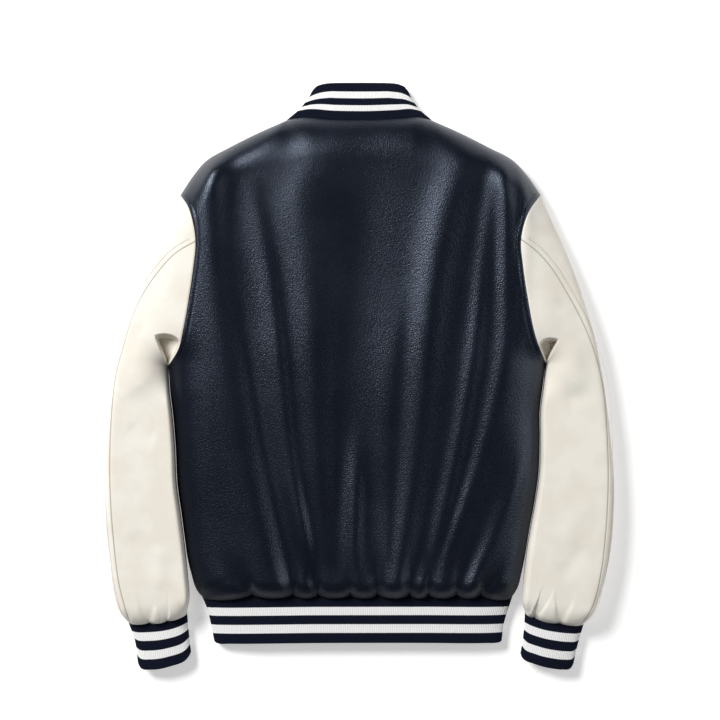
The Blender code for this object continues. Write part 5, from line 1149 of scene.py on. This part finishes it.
def makeCuff(side):
    here = lines[side]
    width = lengthOf(here["cuffSeam"])
    length = lengthOf(here["cuffInner"])
    rise = sleeves["cuffCrown"] - jacket["ribEdge"]
    upperSection = section(lambda t: (t * width, rise * rounded(2 * np.minimum(t, 1 - t))))
    lowerSection = section(lambda t: (t * width, jacket["ribEdge"] * (
        1.0 - rounded(width * np.minimum(t, 1 - t) / jacket["ribUnderRound"]))))
    acrossUp, countUp = ribColumns(upperSection, ribs["perRib"])
    acrossLow, countLow = ribColumns(lowerSection, ribs["perHiddenRib"])
    rows = ribRows(length, cuffs["rowStep"])
    first, last = along(here["cuffOuter"], rows), along(here["cuffInner"], rows)
    seamUp, seamLow = along(here["cuffSeam"], acrossUp), along(here["cuffSeam"], acrossLow)
    upper = coons(seamUp, along(here["cuffFold"], acrossUp), first, last, acrossUp, rows)
    lower = coons(seamLow, along(here["cuffFold"], acrossLow), first, last, acrossLow, rows)
    lower = lower[:, 1:-1][:, ::-1]
    plan = np.concatenate([upper, lower], axis=1)
    x, y = plan[..., 0], plan[..., 1]
    z = np.zeros(x.shape)
    z[:, :len(acrossUp)] = jacket["ribEdge"] + rise * rounded(2 * np.minimum(acrossUp, 1 - acrossUp))[None]
    edgeGap = np.minimum(distance(here["cuffOuter"], x, y), distance(here["cuffInner"], x, y))
    z[:, len(acrossUp):] = (jacket["ribEdge"] * (1.0 - rounded(edgeGap / jacket["ribUnderRound"])))[
        :, len(acrossUp):]
    outer = np.dstack([x, y, z])
    tucked = outer[:1] + (outer[:1] - outer[1:2]) * cuffs["tuckedIn"] / cuffs["rowStep"]
    outer = np.concatenate([tucked, outer])
    rows = np.concatenate([[-cuffs["tuckedIn"] / length], rows])
    closed = np.concatenate([outer[:, -1:], outer, outer[:, :1]], axis=1)
    middle = len(acrossUp) + len(acrossLow) // 2
    normals = intoWall(closed, len(rows) // 2, middle, True)[:, 1:-1]
    count = np.concatenate([countUp, countUp[-1] + countLow[1:-1]])
    outer, inner = knitShell(outer, normals, rows, length, count)
    marks = knitMarks(stripesAt(rows, cuffs["bands"])[:, None], count, rows[:, None] * length)
    piece = wallPiece("cuff_knit_" + side, outer, inner, [knit], ring=True, marks=marks)
    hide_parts("cuff_" + side)


for sideName in sides:
    makeCuff(sideName)
print("cuffs made")


def makeHem():
    fold = smoothCurve(hem["fold"])
    ends = lines["left"]["hemSide"][0, 0], lines["right"]["hemSide"][0, 0]
    seamY = hemSeamAt["level"] + hem["tuckedIn"]
    length = hem["bands"][-1]
    rows = ribRows(length, hem["rowStep"])
    width = ends[1] - ends[0]
    upperSection = section(lambda t: (t * width, ribHeight(ends[0] + t * width, np.full(t.shape, seamY))))
    across, countUp = ribColumns(upperSection, ribs["perRib"])
    seam = np.column_stack([ends[0] + across * width, np.full(len(across), seamY)])
    first, last = along(lines["left"]["hemSide"], rows), along(lines["right"]["hemSide"], rows)
    seam[:, 1] = np.minimum(seamY, seamY + (first[0, 1] - seamY) * bell(across / hem["cornerRun"])
                            + (last[0, 1] - seamY) * bell((1 - across) / hem["cornerRun"]))
    first[0], last[0] = seam[0], seam[-1]
    plan = coons(seam, along(fold, across), first, last, across, rows)
    z = ribHeight(plan[..., 0], plan[..., 1])
    z[:, 0] = z[:, -1] = jacket["ribEdge"]
    upper = np.dstack([plan, z])
    halves, counts = {}, {}
    for side in sides:
        # The ends under the fronts, from the side to past the centre line
        sign = sides[side]["sign"]
        corner = sides[side]["hemSide"][0][0]
        reach = corner + jacket["placket"]
        lowSection = section(lambda t: (t * reach, jacket["ribEdge"] * (
            1.0 - rounded(t * reach / jacket["ribUnderRound"]))))
        steps, counts[side] = ribColumns(lowSection, ribs["perHiddenRib"])
        outs = corner - steps[1:] * reach
        narrowing = np.abs(along(lines[side]["hemSide"], rows)[:, 0])[:, None] - corner
        share = np.clip((outs[None] - hem["narrowsFrom"]) / hem["narrowsRun"], 0.0, 1.0)
        x = sign * (outs[None] + narrowing * share)
        foldY = np.interp(x[-1], fold[:, 0], fold[:, 1])
        y = fronts["hemLevel"] + (foldY - fronts["hemLevel"])[None] * rows[:, None]
        fromSide = distance(lines[side]["hemSide"], x, y)
        z = jacket["ribEdge"] * (1.0 - rounded(fromSide / jacket["ribUnderRound"]))
        z += channelLift(x) if side == "left" else innerEndLift(x, jacket["rib"])
        halves[side] = np.dstack([x, y, z])
    outer, count = wrappedRound(halves, counts, upper, countUp)
    normals = intoWall(outer, len(rows) // 2, halves["left"].shape[1] // 2, True)
    outer, inner = knitShell(outer, normals, rows, length, count)
    foldLine = np.interp(outer[..., 0], *zip(*hem["fold"][2:-2]))      # past its rounded corners
    fromFold = (outer[..., 1] - foldLine).clip(0.0)
    stripe = np.interp(-fromFold, [-edge for edge in hem["bands"][::-1]] + [0.0], stripeLevels)
    marks = knitMarks(stripe, count, fromFold)
    piece = wallPiece("hem_knit", outer, inner, [knit], marks=marks)
    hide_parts("hem_rib")


makeHem()
print("hem made")

# Collar
collar = {
    "fold": [(-0.0546, 0.3793), (-0.0449, 0.3815), (-0.0370, 0.3821), (-0.0200, 0.3822),
             (0.0200, 0.3822), (0.0370, 0.3821), (0.0484, 0.3814), (0.0575, 0.3786)],
    "frontFold": [(0.0540, 0.3793), (0.0440, 0.3500), (0.0280, 0.3180), (0.0020, 0.3040)],
    "left": [(-0.0942, 0.3338), (-0.0757, 0.3505), (-0.0649, 0.3655), (-0.0602, 0.3738), (-0.0546, 0.3793)],
    "right": [(0.0930, 0.3338), (0.0761, 0.3495), (0.0662, 0.3648), (0.0630, 0.3716), (0.0575, 0.3786)],
    "top": 0.025,
    "side": 0.011,
    "swell": 0.003,
    "centreEnd": 0.002,
    "rowStep": 0.0026,
    "bands": (0.258, 0.418, 0.598, 0.756),       # edges of the stripes at the middle, from the seam up
    "sideBands": (0.300, 0.410, 0.540, 0.680),   # the same where the collar turns to the front
    "turnsFrom": 0.55,          # from the middle out, where the stripes start to draw in
    "cut": (0.400, 0.110),
}


def makeCollar():
    fold = smoothCurve(collar["fold"])
    edges = {side: smoothCurve(collar[side]) for side in sides}
    length = lengthOf(edges["left"])
    rows = ribRows(length, collar["rowStep"])
    width = lengthOf(neck)
    places = np.linspace(0.0, 1.0, 200)
    seamHeight = bodyHeight(*along(neck, places).T)
    upperSection = section(lambda t: (t * width, np.interp(t, places, seamHeight)))
    across, countUp = ribColumns(upperSection, ribs["perRib"])
    seam = along(neck, across)
    seamZ = bodyHeight(*seam.T)
    seamZ[[0, -1]] = jacket["edge"]
    sideEdges = {side: along(line, rows) for side, line in edges.items()}
    plan = coons(seam, along(fold, across), sideEdges["left"], sideEdges["right"], across, rows)
    bow = rounded((1.0 - np.abs(2 * across - 1.0)) / 0.8)
    foldZ = collar["side"] + (collar["top"] - collar["side"]) * bow
    swell = collar["swell"] * np.sin(np.pi * rows)[:, None] * bow[None]
    upper = np.dstack([plan, seamZ[None] + (foldZ - seamZ)[None] * rows[:, None] + swell])
    halves, counts = {}, {}
    for side, edge in sideEdges.items():
        sign = sides[side]["sign"]
        neckEdge = smoothCurve([sides[side]["shoulder"][0]] + fronts["neckLine"])
        outs = np.linspace(sides[side]["shoulder"][0][0], collar["centreEnd"], 60)
        seamRow = np.column_stack([sign * outs, np.interp(-outs, -neckEdge[:, 0], neckEdge[:, 1])])
        seamRow[0] = edge[0]
        number = round(lengthOf(seamRow) / ribs["pitch"])
        steps = np.linspace(0.0, 1.0, number * ribs["perHiddenRib"] + 1)
        counts[side] = np.linspace(0.0, number, len(steps))
        seamRow = along(seamRow, steps)
        frontFold = smoothCurve(placed(side, collar["frontFold"]))
        frontFold[0] = edge[-1]
        foldRow = along(frontFold, steps)
        end = seamRow[-1] + (foldRow[-1] - seamRow[-1]) * rows[:, None]
        plan = coons(seamRow, foldRow, edge, end, steps, rows)[:, 1:]
        x, y = plan[..., 0], plan[..., 1]
        edgeZ = jacket["edge"] + (collar["side"] - jacket["edge"]) * rows[:, None]
        z = edgeZ * (1.0 - rounded(distance(edges[side], x, y) / jacket["ribUnderRound"]))
        halves[side] = np.dstack([x, y, z])
    outer, count = wrappedRound(halves, counts, upper, countUp)
    normals = intoWall(outer, len(rows) // 2, len(counts["left"]) // 4, True)
    outer, inner = knitShell(outer, normals, rows, length, count)
    turning = (np.abs(2 * across - 1.0) - collar["turnsFrom"]).clip(0.0) / (1.0 - collar["turnsFrom"])
    aside = np.concatenate([np.ones(len(counts["left"]) - 1), turning, np.ones(len(counts["right"]) - 1)])
    stripe = (stripesAt(rows, collar["bands"])[:, None] * (1.0 - aside)
              + stripesAt(rows, collar["sideBands"])[:, None] * aside)
    marks = knitMarks(stripe, count, rows[:, None] * length)
    piece = wallPiece("collar_knit", outer, inner, [knit], marks=marks)
    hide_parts("collar")


makeCollar()
print("collar made")

# Snap caps, under the front
snapCaps = {"sides": 40, "profile": [(0.0, 0.00018), (0.0030, 0.00010), (0.0052, 0.0), (0.0064, 0.00012),
                                     (0.0071, 0.00040), (0.0075, 0.00080), (0.0075, 0.00125)]}


def makeSnap(node):
    low, high = (np.array(corner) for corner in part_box(node))
    middle = (low + high) / 2
    turn = np.arange(snapCaps["sides"]) * 2 * np.pi / snapCaps["sides"]
    rings = snapCaps["profile"][1:]
    points = [(0.0, 0.0, snapCaps["profile"][0][1])]
    for radius, height in rings:
        points += [(radius * np.cos(angle), radius * np.sin(angle), height) for angle in turn]
    points.append((0.0, 0.0, rings[-1][1]))
    sidesCount = snapCaps["sides"]
    faces = []
    for i in range(sidesCount):
        j = (i + 1) % sidesCount
        faces.append((0, 1 + j, 1 + i))
        for ring in range(len(rings) - 1):
            a, b = 1 + ring * sidesCount + i, 1 + ring * sidesCount + j
            faces.append((a, b, b + sidesCount, a + sidesCount))
        top = 1 + (len(rings) - 1) * sidesCount
        faces.append((top + i, top + j, len(points) - 1))
    points = np.array(points) + (middle[0] - jacket["middle"][0], middle[1] - jacket["middle"][1], low[2])
    piece = meshPiece(node + "_cap", points, faces, [enamel])
    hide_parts(node)


for number in list(range(1, 7)) + ["hem"]:
    makeSnap("snap_" + str(number))
print("snap caps made")

# Stitching
stitching = {
    "length": 0.0026,
    "pitch": 0.0034,
    "radius": 0.00030,
    "sides": 6,
    "sink": 0.00012,
    "shape": [(0.0, 0.25), (0.12, 0.85), (0.5, 1.0), (0.88, 0.85), (1.0, 0.25)],    # (along, thickness)
    "feel": 0.0004,             # how far off the slope of the leather is felt
}


def stitchPiece(name, plan, height, finish):
    # Small rounded bars in a row along a line on a surface
    total = lengthOf(plan)
    count = int(total / stitching["pitch"])
    starts = (np.arange(count) + 0.5) / count - stitching["length"] / 2 / total
    stops = starts + stitching["length"] / total
    shape, sidesCount = stitching["shape"], stitching["sides"]
    turn = np.arange(sidesCount) * 2 * np.pi / sidesCount
    rings = np.stack([along(plan, starts + (stops - starts) * share) for share, _ in shape], 1)
    x, y = rings[..., 0], rings[..., 1]
    z = height(x, y)
    slopeX = (height(x + stitching["feel"], y) - z) / stitching["feel"]
    slopeY = (height(x, y + stitching["feel"]) - z) / stitching["feel"]
    up = np.stack([-slopeX, -slopeY, np.ones_like(z)], -1)
    up /= np.linalg.norm(up, axis=-1)[..., None]
    centres = np.dstack([rings, z])
    run = np.gradient(centres, axis=1)
    run /= np.linalg.norm(run, axis=-1)[..., None]
    aside = np.cross(up, run)
    points, faces = [], []
    for i in range(count):
        base = len(points)
        for k, (_, swell) in enumerate(shape):
            for angle in turn:
                offset = (np.cos(angle) * aside[i, k] + np.sin(angle) * up[i, k]) * swell
                points.append(centres[i, k] + stitching["radius"] * offset
                              + up[i, k] * (stitching["sink"] - stitching["radius"] * (1.0 - swell)))
        for k in range(len(shape) - 1):
            for j in range(sidesCount):
                a = base + k * sidesCount + j
                b = base + k * sidesCount + (j + 1) % sidesCount
                faces.append((a, b, b + sidesCount, a + sidesCount))
        last = base + (len(shape) - 1) * sidesCount
        faces.append(tuple(base + j for j in range(sidesCount))[::-1])
        faces.append(tuple(last + j for j in range(sidesCount)))
    return meshPiece(name, points, faces, [finish])


for sideName, sideLines in lines.items():
    piece = stitchPiece("armhole_stitching_" + sideName, sideLines["armholeStitch"], bodyHeight, navyThread)
    piece = stitchPiece("sleeve_stitching_" + sideName, sideLines["sleeveStitch"],
                        lambda x, y: sleeveHeight(sideName, x, y), creamThread)
print("stitching made")

# Floor, light and camera
studio = {
    "floor": (0.80, 0.80, 0.80, 1.0),
    "glow": 0.40,               # the floor is lit from below as well, like a light table
    "sky": (0.93, 0.96, 1.0, 1.0),
    "skyStrength": 0.14,
    "lights": [
        {"name": "keyLight", "place": (-2.50, 2.20, 3.50), "size": 1.9, "power": 280.0},
        {"name": "fillLight", "place": (4.00, 0.30, 2.20), "size": 3.0, "power": 56.0},
    ],
    "lightColour": (1.0, 0.99, 0.975),
    "floorReach": 6,
    "floorDrop": 0.0002,
    "camera": {"place": (0.00065, 0.0216, 3.535), "lens": 135.0},
}


def makeStudio():
    mesh = bpy.data.meshes.new("floor")
    reach = studio["floorReach"]
    corners = [(-reach, -reach, 0), (reach, -reach, 0), (reach, reach, 0), (-reach, reach, 0)]
    mesh.from_pydata(corners, [], [(0, 1, 2, 3)])
    floor = bpy.data.objects.new("floor", mesh)
    bpy.context.scene.collection.objects.link(floor)
    floor.location.z = -studio["floorDrop"]
    shader = Shader("paleFloor", {
        "Base Color": studio["floor"], "Roughness": 0.9, "Specular IOR Level": 0.1,
        "Emission Color": (1.0, 1.0, 1.0, 1.0), "Emission Strength": studio["glow"]})
    mesh.materials.append(shader.material)
    world = bpy.data.worlds.new("studioSky")
    world.use_nodes = True
    world.node_tree.nodes["Background"].inputs["Color"].default_value = studio["sky"]
    world.node_tree.nodes["Background"].inputs["Strength"].default_value = studio["skyStrength"]
    bpy.context.scene.world = world
    for light in studio["lights"]:
        data = bpy.data.lights.new(light["name"], "AREA")
        data.shape = "DISK"
        data.size = light["size"]
        data.energy = light["power"]
        data.color = studio["lightColour"]
        lamp = bpy.data.objects.new(light["name"], data)
        lamp.location = light["place"]
        lamp.rotation_euler = (-lamp.location).to_track_quat("-Z", "Y").to_euler()
        bpy.context.scene.collection.objects.link(lamp)
    data = bpy.data.cameras.new("camera")
    data.lens = studio["camera"]["lens"]
    camera = bpy.data.objects.new("camera", data)
    camera.location = studio["camera"]["place"]
    bpy.context.scene.collection.objects.link(camera)
    bpy.context.scene.camera = camera
    bpy.context.scene.view_settings.view_transform = "Standard"


makeStudio()
print("studio made")
